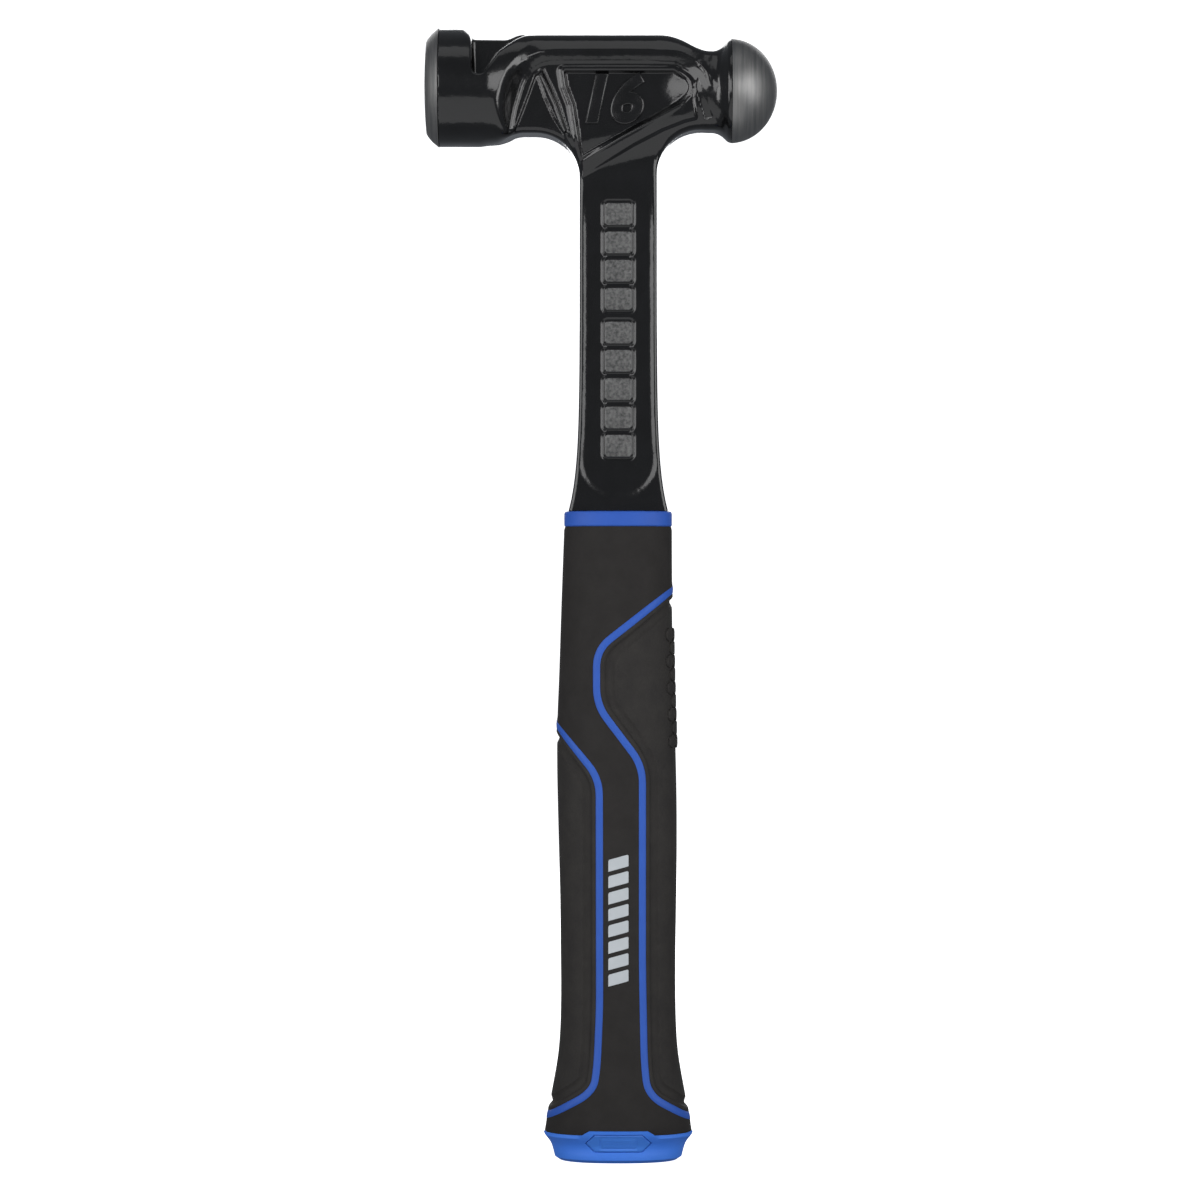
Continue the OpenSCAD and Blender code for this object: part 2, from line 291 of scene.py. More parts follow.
def node_points(name: str) -> Array:
    """Read a CAD node's vertices.

    Args:
        name: the node's name.

    Returns:
        N by 3 points in millimetres.
    """
    mesh = frame["nodes"][name].data
    flat = np.zeros(len(mesh.vertices) * 3)
    mesh.vertices.foreach_get("co", flat)
    return flat.reshape(-1, 3) / MM


def node_edges(name: str) -> tuple[Array, Array]:
    """Find the ends of a CAD node's edges.

    Args:
        name: the node's name.

    Returns:
        Start points and end points in millimetres.
    """
    mesh = frame["nodes"][name].data
    pairs = np.zeros(len(mesh.edges) * 2, int)
    mesh.edges.foreach_get("vertices", pairs)
    starts, ends = pairs.reshape(-1, 2).T
    points = node_points(name)
    return points[starts], points[ends]


def node_box(name: str) -> tuple[Vector, Vector]:
    """A CAD node's lowest and highest corner in millimetres."""
    low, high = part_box(name)
    return low / MM, high / MM


MOUNT = mount_places()
HEAD_Z = MOUNT["strike_face"].z
PEEN_Z = MOUNT["peen"].z


# ---------------------------------------------------------------- mesh helpers


def mesh_object(name: str, points: Array, faces: Sequence[Sequence[int]]) -> bpy.types.Object:
    """Make a smooth-shaded object from points in millimetres.

    Args:
        name: object name.
        points: N by 3 array in millimetres.
        faces: vertex indices of each face.

    Returns:
        The object, linked to the scene.
    """
    mesh = bpy.data.meshes.new(name)
    mesh.from_pydata((np.asarray(points) * MM).tolist(), [], [list(map(int, f)) for f in faces])
    mesh.update()
    thing = bpy.data.objects.new(name, mesh)
    bpy.context.scene.collection.objects.link(thing)
    activate(thing)
    bpy.ops.object.shade_smooth()
    return thing


def band_faces(rows: int, columns: int, closed: bool = True) -> list[tuple[int, ...]]:
    """Four-sided faces of a grid of points whose rows are rings.

    Args:
        rows: number of rings.
        columns: points in each ring.
        closed: whether the last ring joins the first.

    Returns:
        The faces' vertex indices.
    """
    return [
        (r * columns + c, r * columns + (c + 1) % columns,
         (r + 1) % rows * columns + (c + 1) % columns, (r + 1) % rows * columns + c)
        for r in range(rows if closed else rows - 1) for c in range(columns)
    ]


def activate(thing: bpy.types.Object) -> None:
    """Make one object the only selected and active one.

    Args:
        thing: the object.
    """
    bpy.ops.object.select_all(action="DESELECT")
    thing.select_set(True)
    bpy.context.view_layer.objects.active = thing


def settle(thing: bpy.types.Object) -> bpy.types.Object:
    """Apply an object's modifiers and its place, so that it sits at the origin.

    Args:
        thing: the object.

    Returns:
        The same object.
    """
    activate(thing)
    for modifier in list(thing.modifiers):
        bpy.ops.object.modifier_apply(modifier=modifier.name)
    bpy.ops.object.transform_apply(location=True, rotation=True, scale=True)
    return thing


def tidy_mesh(thing: bpy.types.Object, merge: float = 0.005) -> None:
    """Merge doubled points and turn the normals outwards.

    Args:
        thing: the object.
        merge: distance in mm under which points are one.
    """
    activate(thing)
    bpy.ops.object.mode_set(mode="EDIT")
    bpy.ops.mesh.select_all(action="SELECT")
    bpy.ops.mesh.remove_doubles(threshold=merge * MM)
    bpy.ops.mesh.normals_make_consistent(inside=False)
    bpy.ops.object.mode_set(mode="OBJECT")


def add_modifier(thing: bpy.types.Object, kind: str, **settings) -> None:
    """Add a modifier with its settings.

    Args:
        thing: the object.
        kind: the modifier's type.
        settings: the modifier's values by name.
    """
    modifier = thing.modifiers.new(kind.lower(), kind)
    for name, value in settings.items():
        setattr(modifier, name, value)


def show(thing: bpy.types.Object, finish: Finish, slot: Slot, *nodes: str) -> bpy.types.Object:
    """Give a finished piece its material and its place in the row.

    Args:
        thing: the finished object.
        finish: its surface finish.
        slot: the record's material slot; not used.
        nodes: the CAD nodes that it stands for.

    Returns:
        The same object.
    """
    if not thing.data.materials:
        thing.data.materials.append(finish.material)
    log.info("%s done", thing.name)
    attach(thing, "root")
    if nodes:
        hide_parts(*nodes)
    return thing


def spun(name: str, profile: Sequence[Point], axis_z: float, steps: int = 160) -> bpy.types.Object:
    """Turn a closed profile about an axis along X.

    Args:
        name: object name.
        profile: points of place along X and radius, from the axis back to the axis.
        axis_z: height of the axis.
        steps: segments round the axis.

    Returns:
        The turned object.
    """
    points = [(x * MM, 0.0, (axis_z + r) * MM) for x, r in profile]
    mesh = bpy.data.meshes.new(name)
    mesh.from_pydata(points, [(i, i + 1) for i in range(len(points) - 1)], [])
    thing = bpy.data.objects.new(name, mesh)
    bpy.context.scene.collection.objects.link(thing)
    activate(thing)
    bpy.ops.object.mode_set(mode="EDIT")
    bpy.ops.mesh.select_all(action="SELECT")
    bpy.ops.mesh.spin(steps=steps, angle=math.tau, center=(0, 0, axis_z * MM), axis=(1, 0, 0))
    bpy.ops.object.mode_set(mode="OBJECT")
    tidy_mesh(thing, 0.002)
    bpy.ops.object.shade_smooth_by_angle(angle=math.radians(28))
    return thing


# ---------------------------------------------------------------- smooth fields


def smooth_step(t: Array) -> Array:
    """Ease from 0 to 1 while t goes from 0 to 1."""
    t = np.clip(t, 0, 1)
    return t * t * (3 - 2 * t)


def smooth_max(a: Array, b: Array, width: float | Array) -> Array:
    """Larger of two fields with their crease rounded over a width."""
    share = np.clip(0.5 + 0.5 * (a - b) / width, 0, 1)
    return b + (a - b) * share + width * share * (1 - share)


def smooth_min(a: Array, b: Array, width: float | Array) -> Array:
    """Smaller of two fields with their crease rounded over a width."""
    return -smooth_max(-a, -b, width)


def line_distance(a: Array, b: Array, points: Sequence[Point], closed: bool = False) -> Array:
    """Distance from each place (a, b) to a line of points.

    Args:
        a: first coordinates.
        b: second coordinates.
        points: the line's points.
        closed: whether the last point joins the first.

    Returns:
        The distances.
    """
    corners = np.asarray(points, float)
    ends = np.roll(corners, -1, axis=0) if closed else corners[1:]
    best = np.full(np.shape(a), np.inf)
    for start, end in zip(corners, ends):
        run = end - start
        length = max(float(run @ run), 1e-12)
        t = np.clip(((a - start[0]) * run[0] + (b - start[1]) * run[1]) / length, 0, 1)
        best = np.minimum(best, (a - start[0] - t * run[0]) ** 2 + (b - start[1] - t * run[1]) ** 2)
    return np.sqrt(best)


def inside(a: Array, b: Array, points: Sequence[Point]) -> Array:
    """Whether each place (a, b) is inside a closed outline.

    Args:
        a: first coordinates.
        b: second coordinates.
        points: the outline's points.

    Returns:
        True for each place inside.
    """
    corners = np.asarray(points, float)
    within = np.zeros(np.shape(a), bool)
    for (ax, ay), (bx, by) in zip(corners, np.roll(corners, -1, axis=0)):
        crosses = (ay > b) != (by > b)
        slope = (bx - ax) / (by - ay) if by != ay else 0.0
        within ^= crosses & (a < ax + (b - ay) * slope)
    return within


def depth_in(a: Array, b: Array, points: Sequence[Point]) -> Array:
    """Distance to a closed outline, positive inside it."""
    distance = line_distance(a, b, points, closed=True)
    return np.where(inside(a, b, points), distance, -distance)


def arc(centre: Point, radius: float, start: float, end: float, steps: int = 12) -> list[Point]:
    """Points of an arc, with its angles in degrees."""
    angles = np.radians(np.linspace(start, end, steps + 1))
    return [(centre[0] + radius * math.cos(t), centre[1] + radius * math.sin(t)) for t in angles]


def s_run(a: Point, b: Point, steps: int = 8) -> list[Point]:
    """S-shaped run between two points.

    Args:
        a: first point.
        b: last point.
        steps: number of pieces.

    Returns:
        The run's points.
    """
    across, up = b[0] - a[0], b[1] - a[1]
    shares = np.linspace(0, 1, steps + 1)
    return [(a[0] + across * t, a[1] + up * (1 - math.cos(math.pi * t)) / 2) for t in shares]


def softened(points: Sequence[Point], rounds: int = 2) -> list[Point]:
    """Cut the corners of an open line, so that it runs as a curve.

    Args:
        points: the line's points.
        rounds: how many times each corner is cut.

    Returns:
        The points of the curve.
    """
    line = [tuple(p) for p in points]
    for _ in range(rounds):
        cut = [line[0]]
        for (ax, ay), (bx, by) in zip(line, line[1:]):
            cut += [(ax + t * (bx - ax), ay + t * (by - ay)) for t in (0.25, 0.75)]
        line = cut + [line[-1]]
    return line


@dataclass
class Sheet:
    """A smooth field over a plane, kept on an even grid and read through cubic B-splines.

    Attributes:
        low: the grid's lowest corner.
        cell: the grid's spacing.
        values: the field at each grid point.
    """

    low: Point
    cell: float
    values: Array

    @classmethod
    def of(cls, rule: Rule, low: Point, high: Point, cell: float = 0.25) -> "Sheet":
        """Sample a rule over a rectangle.

        Args:
            rule: the field as a function of two coordinates.
            low: lowest corner.
            high: highest corner.
            cell: spacing of the grid.

        Returns:
            The sampled field.
        """
        a = np.arange(low[0] - 3 * cell, high[0] + 4 * cell, cell)
        b = np.arange(low[1] - 3 * cell, high[1] + 4 * cell, cell)
        grid = np.meshgrid(a, b, indexing="ij")
        return cls((a[0], b[0]), cell, rule(*grid))

    @staticmethod
    def _weights(t: Array) -> list[Array]:
        """Weights of the four neighbours of a place.

        Args:
            t: cells from the second neighbour to the place.

        Returns:
            The four weights.
        """
        return [
            (1 - t) ** 3 / 6,
            (3 * t**3 - 6 * t**2 + 4) / 6,
            (3 * (t + t**2 - t**3) + 1) / 6,
            t**3 / 6,
        ]

    def __call__(self, a: Array, b: Array) -> Array:
        """Read the field.

        Args:
            a: first coordinates.
            b: second coordinates.

        Returns:
            The field at each place.
        """
        places = [(a - self.low[0]) / self.cell, (b - self.low[1]) / self.cell]
        limits = [n - 3 for n in self.values.shape]
        firsts = [np.clip(np.floor(p).astype(int), 1, n) for p, n in zip(places, limits)]
        weights = [self._weights(np.clip(p - f, 0, 1)) for p, f in zip(places, firsts)]
        total = np.zeros(np.broadcast(a, b).shape)
        for i, wa in enumerate(weights[0]):
            for j, wb in enumerate(weights[1]):
                total += wa * wb * self.values[firsts[0] + i - 1, firsts[1] + j - 1]
        return total


# ---------------------------------------------------------------- forging


@dataclass
class Head:
    """The forged head and shaft: enamelled body, bare face, bare peen, raised blocks and number.

    Attributes:
        barrel_r: radius of the barrel behind the striking face.
        face_r: radius of the crowned face.
        border_x: where the bare bevel ends and the enamel starts.
        peen_x: where the bare dome starts.
        peen_r: radius of the dome.
        dome_x: centre of the dome along X.
        cheek: half thickness at the cheeks.
        shaft_half: half width of the shaft.
        shaft_thin: half thickness of the shaft.
        shoulder_half: half width of the shaft's shoulder.
        flare: length over which the shaft widens towards the shoulder.
        throat_r: fillets between the head and the shaft.
        web_half: half thickness of the web between the notches behind the barrel.
        shoulder_gap: how far the shaft runs down past its shoulder.
        recess: depth of the recess in the shaft's faces.
        rim: width of the shaft's faces beside the recess.
        cell: spacing of the surface's points.
        block: width and height of a raised block.
        block_pitch: step between neighbouring blocks.
    """

    barrel_r: float = 17.25
    face_r: float = 13.4
    border_x: float = -52.1
    peen_x: float = 33.0
    peen_r: float = 15.1
    dome_x: float = 32.5
    cheek: float = 9.7
    shaft_half: float = 11.2
    shaft_thin: float = 4.8
    shoulder_half: float = 14.3
    flare: float = 12.0
    throat_r: float = 12.8
    web_half: float = 4.5
    shoulder_gap: float = 0.55
    recess: float = 0.6
    rim: float = 1.3
    cell: float = 0.42
    block: Point = (8.2, 7.0)
    block_pitch: float = 8.2

    @cached_property
    def shoulder_z(self) -> float:
        """Height of the shoulder that stands over the collar."""
        return node_box("collar_ring")[1].z + 0.6

    @cached_property
    def face_x(self) -> float:
        """Place of the striking face."""
        return MOUNT["strike_face"].x

    @cached_property
    def tip_x(self) -> float:
        """Place of the peen's tip."""
        return MOUNT["peen"].x

    @cached_property
    def block_heights(self) -> list[float]:
        """Centres of the raised blocks: five low ones and four high ones."""
        groups = ((5, self.shoulder_z + 18.4), (4, self.shoulder_z + 60.9))
        return [low + i * self.block_pitch for count, low in groups for i in range(count)]

    def side(self, z: float) -> float:
        """Half width of the shaft at a height."""
        spread = self.shoulder_half - self.shaft_half
        return self.shaft_half + spread * math.exp((self.shoulder_z - z) / self.flare)

    def outline(self) -> list[Point]:
        """Front outline of the body and the shaft, clockwise from the barrel's top left.

        Returns:
            Points of place along the head and height.
        """
        over = self.barrel_r + 0.8
        throat_right = (self.shaft_half + self.throat_r, HEAD_Z - 25.4)
        throat_left = (-self.shaft_half - self.throat_r, HEAD_Z - 26.5)
        heights = np.linspace(throat_left[1] - 1, self.shoulder_z - 4, 30)
        return [
            (-56, HEAD_Z + over),
            (-44.2, HEAD_Z + over),
            (-43.2, HEAD_Z + 15.6),
            (-41.8, HEAD_Z + 13.6),
            *s_run((-33, HEAD_Z + 13.5), (-27.5, HEAD_Z + 15.2)),
            *s_run((12, HEAD_Z + 15.2), (27.5, HEAD_Z + 9.9), 12),
            (30, HEAD_Z + 9.9),
            (30, HEAD_Z - 12.6),
            *arc(throat_right, self.throat_r, 90, 180),
            *[(self.side(z), z) for z in heights],
            *[(-self.side(z), z) for z in heights[::-1]],
            *arc(throat_left, self.throat_r, 0, 90),
            *s_run((-27.5, HEAD_Z - 13.7), (-37.8, HEAD_Z - 17.2)),
            (-40, HEAD_Z - over),
            (-56, HEAD_Z - over),
        ]

    @staticmethod
    def at_head(points: Sequence[Point]) -> list[Point]:
        """Move points given from the face's centre line to their heights."""
        return [(x, HEAD_Z + z) for x, z in points]

    def thickness(self, x: Array, z: Array) -> Array:
        """Half thickness of the body and the shaft over the front view, with all the forged relief.

        Args:
            x: places along the head.
            z: heights.

        Returns:
            Half thickness at each place.
        """
        crease = softened([
            (-34.5, -30), (-33.2, -20), (-31.7, -14.3), (-30.7, -8), (-29.4, -3.5), (-28, 0.9),
            (-26.3, 3.6), (-24.3, 5.3), (-21.2, 6.7), (-17.8, 6.9), (6.3, 7), (15.8, 6.6), (17.9, 5.9),
            (21.3, 3.8), (23.4, 1.6), (25.5, -1.3), (28.1, -7.7), (31, -14), (32, -30),
        ], 1)
        panel = depth_in(x, z, self.at_head([*crease, (40, -150), (-40, -150)]))
        beyond = np.maximum(-panel, 0)
        top_share = smooth_step((x + 34) / 14)
        slope = 1.45 + (0.3 - 1.45) * top_share
        head = self.cheek + slope * beyond - (slope + 0.55) * top_share * np.maximum(beyond - 3.1, 0)
        head -= 0.55 * smooth_step(panel / 1.3)

        def sunk(points: Sequence[Point], depth: float, edge: float) -> Array:
            """Depth of a pocket whose sides run over the edge's width."""
            return depth * smooth_step(depth_in(x, z, self.at_head(points)) / edge + 0.5)

        lens_left = [(-23.4, 2.7), (-21.2, -3.8), (-18.5, -9.6), (-15.8, -14)]
        lens_right = [(-22.1, 4.1), (-19.9, -0.3), (-17.8, -5.1), (-16.1, -10.2), (-14.9, -13.6)]
        wedge = [(-23.9, 2.8), (-26, -3.1), (-28.7, -10.2), (-31.6, -17), (-14, -18), *lens_left[::-1]]
        number = [(-15.4, 3.7), (-14.8, -0.3), (-12.7, -5.8), (-11.6, -13), (-10.5, -20.3), (-6.6, -18.1),
                  (7.5, -10.5), (17.1, -5), *arc((17.2, -0.8), 3.0, -40, 60, 6), (16, 3.7)]
        bead_line = [(21.6, -1.2), (20.9, -3.3), (19.2, -5), (12.8, -8.4), (0.1, -15.2), (-10.5, -21.9)]
        rib_line = [(22.6, -9.7), (19.2, -10.5), (12.8, -13), (4.4, -17.3), (-8.4, -24.9), (-10.5, -26.2)]
        slender = [(22.1, -0.5), (25.1, -9.8), (27.2, -9.3), (23, 1.6)]
        head -= sunk(wedge, 0.75, 0.8)
        head -= sunk([*lens_left, *lens_right[::-1]], 1.2, 0.9)
        lens_edge = line_distance(x, z, self.at_head(lens_right))
        head += 0.3 * np.exp(-((lens_edge / 0.7) ** 2))
        head -= sunk(number, 0.85, 0.7)
        number_depth = depth_in(x, z, self.at_head(number))
        head += 0.6 * np.exp(-(((number_depth + 1.0) / 0.8) ** 2))
        raised = sunk([*bead_line, *rib_line[::-1]], 1.0, 1.2)
        head -= sunk(slender, 0.9, 0.8)
        hook = line_distance(x, z, self.at_head([(23.9, 5.6), (25.4, 3.4), (26.6, -0.6)]))
        head += 0.6 * np.exp(-((hook / 0.9) ** 2))

        low_edge = HEAD_Z - 26.5 + 8 * np.clip((x + 10) / 33, 0, 1)
        share = smooth_step((z - low_edge) / 12.5)
        shaft = np.full(np.shape(x), self.shaft_thin)
        foot_z = self.shoulder_z + 14.5
        foot_r = self.side(foot_z) - self.rim
        heights = np.linspace(HEAD_Z - 24, foot_z, 12)
        recess = [*[(self.side(h) - self.rim, h) for h in heights], *arc((0, foot_z), foot_r, 0, -180, 24),
                  *[(self.rim - self.side(h), h) for h in heights[::-1]]]
        fade = 1 - smooth_step((z - HEAD_Z + 42) / 14)
        shaft -= 0.5 * self.recess * fade * smooth_step(depth_in(x, z, recess) / 2.4 + 0.5)
        for height in self.block_heights:
            corner = np.hypot(np.maximum(np.abs(x) - self.block[0] / 2 + 1.1, 0),
                              np.maximum(np.abs(z - height) - self.block[1] / 2 + 1.1, 0))
            reach = corner - 1.1
            shaft -= 0.3 * np.exp(-(((reach - 0.25) / 0.4) ** 2))
        return shaft + (head - shaft) * share + raised * (0.5 + 0.5 * share)

    @cached_property
    def sheets(self) -> dict[str, Sheet]:
        """The fields that the body's shape is read from.

        Returns:
            The fields by name.
        """
        low, high = (-58.0, self.shoulder_z - 5), (36.0, HEAD_Z + 22)
        pocket = [
            (-42.3, 30), (-42.3, 5.4), *arc((-40.2, 4.5), 2.1, 180, 320, 8), (-36.2, 6.5), (-34.6, 9.1),
            (-31.8, 11.4), (-29.2, 13.4), (-26, 15.4), (-22, 30),
        ]
        neck = [(12, -4), (12, 6), (20, 9.6), (26, 11.1), (29.5, 11.2), (29.5, -4)]
        flange = [(25, -4), (25, 8.3), (28, 11.2), (31.7, 14.7), (32.4, 15.0), (34, 15.1), (34, -4)]
        return {
            "outline": Sheet.of(lambda x, z: -depth_in(x, z, self.outline()), low, high),
            "thickness": Sheet.of(self.thickness, low, high, 0.2),
            "pocket": Sheet.of(lambda x, z: -depth_in(x, z, self.at_head(pocket)), low, high),
            "neck": Sheet.of(lambda x, r: -depth_in(x, r, neck), (-58, -2), (36, 30)),
            "flange": Sheet.of(lambda x, r: -depth_in(x, r, flange), (-58, -2), (36, 30)),
        }

    def shape(self, x: Array, y: Array, z: Array) -> Array:
        """The enamelled body as a field that is negative inside.

        Args:
            x: places along the head.
            y: places front to back.
            z: heights.

        Returns:
            The field's values, in mm near the surface.
        """
        sheets = self.sheets
        depth = np.abs(y)
        turn = smooth_step((x + 39) / 15)
        body_half_t, body_half_h = 12.8, 16.2
        half_t = self.barrel_r + (body_half_t - self.barrel_r) * turn
        half_h = self.barrel_r + (body_half_h - self.barrel_r) * turn
        open_below = 2.5 * smooth_step((x + 37) / 9) + 2000 * smooth_step((x + 27) / 8) ** 3
        power = 2 + 0.6 * turn
        lift = z - HEAD_Z
        high = np.abs(lift) / np.where(lift > 0, half_h, self.barrel_r + open_below)
        oval = ((depth / half_t) ** power + high**power) ** (1 / power)
        oval = (oval - 1) * 0.5 * (half_t + half_h)
        head_share = smooth_step((lift + 28) / 14)
        outline, cheeks = sheets["outline"](x, z), depth - sheets["thickness"](x, z)
        body = smooth_max(outline, cheeks, 1.1 + 1.3 * head_share)
        body = smooth_max(body, oval, 2.0)
        radius = np.sqrt(depth**2 + (z - PEEN_Z) ** 2)
        body = smooth_min(body, sheets["neck"](x, radius), 2.6)
        body = smooth_min(body, sheets["flange"](x, radius), 1.4)
        pocket = smooth_max(sheets["pocket"](x, z), self.web_half - depth, 1.2)
        body = smooth_max(body, -pocket, 1.0)
        ends = np.maximum(self.border_x + 0.1 - x, x - self.peen_x)
        return np.maximum(np.maximum(body, ends), self.shoulder_z - self.shoulder_gap - z)

    def body(self) -> bpy.types.Object:
        """The enamelled head and shaft, meshed from its field and drawn onto it.

        Returns:
            The body, without its two bare ends.
        """
        low = np.array([self.border_x - 1.3, -19.0, self.shoulder_z - 1.3])
        high = np.array([self.peen_x + 1.3, 19.0, HEAD_Z + self.barrel_r + 1.5])
        axes = [np.arange(a, b, self.cell) for a, b in zip(low, high)]
        x, z = np.meshgrid(axes[0], axes[2], indexing="ij")
        field_values = np.stack([self.shape(x, np.full_like(x, y), z) for y in axes[1]], axis=1)
        grid = openvdb.FloatGrid(3.0)
        grid.copyFromArray(field_values.astype(np.float32))
        points, quads = grid.convertToQuads(0.0)
        points = low + np.asarray(points, float) * self.cell
        for _ in range(5):
            value, slope = self.value_and_slope(points)
            move = value / np.maximum((slope**2).sum(1), 0.2)
            points -= np.clip(move, -0.2, 0.2)[:, None] * slope
        _, slope = self.value_and_slope(points)
        normals = slope / np.linalg.norm(slope, axis=1)[:, None]
        thing = mesh_object("forged_body", points, quads[:, ::-1])
        first = thing.data.polygons[0]
        if first.normal.dot(Vector(normals[first.vertices[0]])) < 0:
            thing.data.flip_normals()
        thing.data.normals_split_custom_set_from_vertices(normals.tolist())
        return thing

    def value_and_slope(self, points: Array, step: float = 0.04) -> tuple[Array, Array]:
        """The body's field and its slope.

        Args:
            points: N by 3 points in millimetres.
            step: distance over which the slope is taken.

        Returns:
            The field's values, and its slope along each axis.
        """
        value = self.shape(*points.T)
        slopes = []
        for axis in np.eye(3) * step:
            slopes.append((self.shape(*(points + axis).T) - self.shape(*(points - axis).T)) / (2 * step))
        return value, np.stack(slopes, axis=1)

    def face(self) -> bpy.types.Object:
        """The bare striking face with its crown and bevel.

        Returns:
            The face.
        """
        crown = [(self.face_x + 0.6 * (r / self.face_r) ** 2, r) for r in np.linspace(0, self.face_r, 10)]
        bevel = [(self.face_x + 1.0, self.face_r + 0.75), (self.face_x + 2.2, self.face_r + 2.2),
                 (self.border_x - 0.35, self.barrel_r - 0.25), (self.border_x, self.barrel_r + 0.03)]
        return spun("striking_face", [*crown, *bevel, (self.border_x + 0.1, self.barrel_r - 0.5),
                                      (self.border_x + 0.1, 0)], HEAD_Z)

    def dome(self) -> bpy.types.Object:
        """The bare ball peen.

        Returns:
            The dome.
        """
        length = self.tip_x - self.dome_x
        start = math.asin((self.peen_x - 0.1 - self.dome_x) / length)
        angles = np.linspace(start, math.pi / 2, 40)
        curve = [(self.dome_x + length * math.sin(t), self.peen_r * math.cos(t)) for t in angles]
        curve[-1] = (self.tip_x, 0)
        return spun("peen_dome", [(self.peen_x - 0.1, 0), *curve], PEEN_Z)

    def raised_blocks(self) -> bpy.types.Object:
        """Plain raised blocks in the recess of both faces of the shaft.

        Returns:
            All the blocks as one object.
        """
        top = self.shaft_thin - 0.1
        floor = self.shaft_thin - self.recess - 0.6
        bpy.ops.mesh.primitive_cube_add(size=1)
        first = bpy.context.active_object
        first.scale = (self.block[0] * MM, (top - floor) * MM, self.block[1] * MM)
        bpy.ops.object.transform_apply(scale=True)
        bpy.ops.object.mode_set(mode="EDIT")
        bpy.ops.mesh.select_all(action="DESELECT")
        bpy.ops.mesh.select_mode(type="EDGE")
        bpy.ops.object.mode_set(mode="OBJECT")
        for edge in first.data.edges:
            a, b = (first.data.vertices[i].co for i in edge.vertices)
            edge.select = abs((a - b).normalized().y) > 0.9
        bpy.ops.object.mode_set(mode="EDIT")
        bpy.ops.mesh.bevel(offset=1.1 * MM, segments=5)
        bpy.ops.object.mode_set(mode="OBJECT")
        limit = math.radians(60)
        add_modifier(first, "BEVEL", width=0.4 * MM, segments=3, limit_method="ANGLE", angle_limit=limit)
        settle(first)
        bpy.ops.object.shade_smooth_by_angle(angle=math.radians(40))
        first.data.materials.append(WORN.material)
        first.data.materials.append(ENAMEL.material)
        for face in first.data.polygons:
            face.material_index = int(abs(face.normal.y) < 0.97)
        copies = []
        for height in self.block_heights:
            for side in (-1, 1):
                copy = copied(first)
                copy.location = (0, side * (top + floor) / 2 * MM, height * MM)
                copies.append(copy)
        bpy.data.objects.remove(first)
        return joined("shaft_blocks", copies)

    def number(self) -> bpy.types.Object:
        """The head's weight as a raised slanting number on both cheeks.

        Returns:
            Both numbers as one object.
        """
        settings = {
            "body": "16", "size": 18.5 * MM, "shear": 0.22, "offset": 0.5 * MM, "extrude": 0.5 * MM,
            "bevel_depth": 0.45 * MM, "bevel_resolution": 3, "align_x": "CENTER", "align_y": "CENTER",
        }
        place = Vector((-3.0 * MM, -(self.cheek - 1.2) * MM, (HEAD_Z - 4.8) * MM))
        pair = []
        for side in (0, math.pi):
            bpy.ops.object.text_add()
            text = bpy.context.active_object
            for name, value in settings.items():
                setattr(text.data, name, value)
            text.location = Matrix.Rotation(side, 3, "Z") @ place
            text.rotation_euler = (math.pi / 2, 0, side)
            bpy.ops.object.convert(target="MESH")
            pair.append(settle(text))
        thing = joined("weight_number", pair)
        tidy_mesh(thing)
        bpy.ops.object.shade_smooth_by_angle(angle=math.radians(35))
        return thing

    def tang(self) -> bpy.types.Object:
        """The flat tang inside the grip.

        Returns:
            The tang.
        """
        width, thick, foot = 17.0, 7.0, 30.0
        bpy.ops.mesh.primitive_cube_add(size=1)
        thing = bpy.context.active_object
        thing.name = "tang"
        thing.scale = (width * MM, thick * MM, (self.shoulder_z + 1 - foot) * MM)
        thing.location = (0, 0, (self.shoulder_z + 1 + foot) / 2 * MM)
        add_modifier(thing, "BEVEL", width=1 * MM, segments=2)
        return settle(thing)

    def build(self) -> None:
        """Make every piece of the forging."""
        show(self.body(), ENAMEL, Slot.STEEL, "forging")
        for thing, finish in (
            (self.face(), GROUND), (self.dome(), GROUND), (self.raised_blocks(), WORN),
            (self.number(), ENAMEL), (self.tang(), ENAMEL),
        ):
            show(thing, finish, Slot.STEEL)


def copied(thing: bpy.types.Object) -> bpy.types.Object:
    """A copy of an object with its own mesh, in the scene.

    Args:
        thing: the object.

    Returns:
        The copy.
    """
    copy = thing.copy()
    copy.data = thing.data.copy()
    bpy.context.scene.collection.objects.link(copy)
    return copy


def joined(name: str, things: Sequence[bpy.types.Object]) -> bpy.types.Object:
    """Join objects into one.

    Args:
        name: name of the joined object.
        things: the objects.

    Returns:
        The joined object, at the origin.
    """
    bpy.ops.object.select_all(action="DESELECT")
    for thing in things:
        thing.select_set(True)
    bpy.context.view_layer.objects.active = things[0]
    bpy.ops.object.join()
    whole = bpy.context.active_object
    bpy.ops.object.transform_apply(location=True, rotation=True, scale=True)
    whole.name = name
    whole.data.name = name
    return whole


# ---------------------------------------------------------------- grip


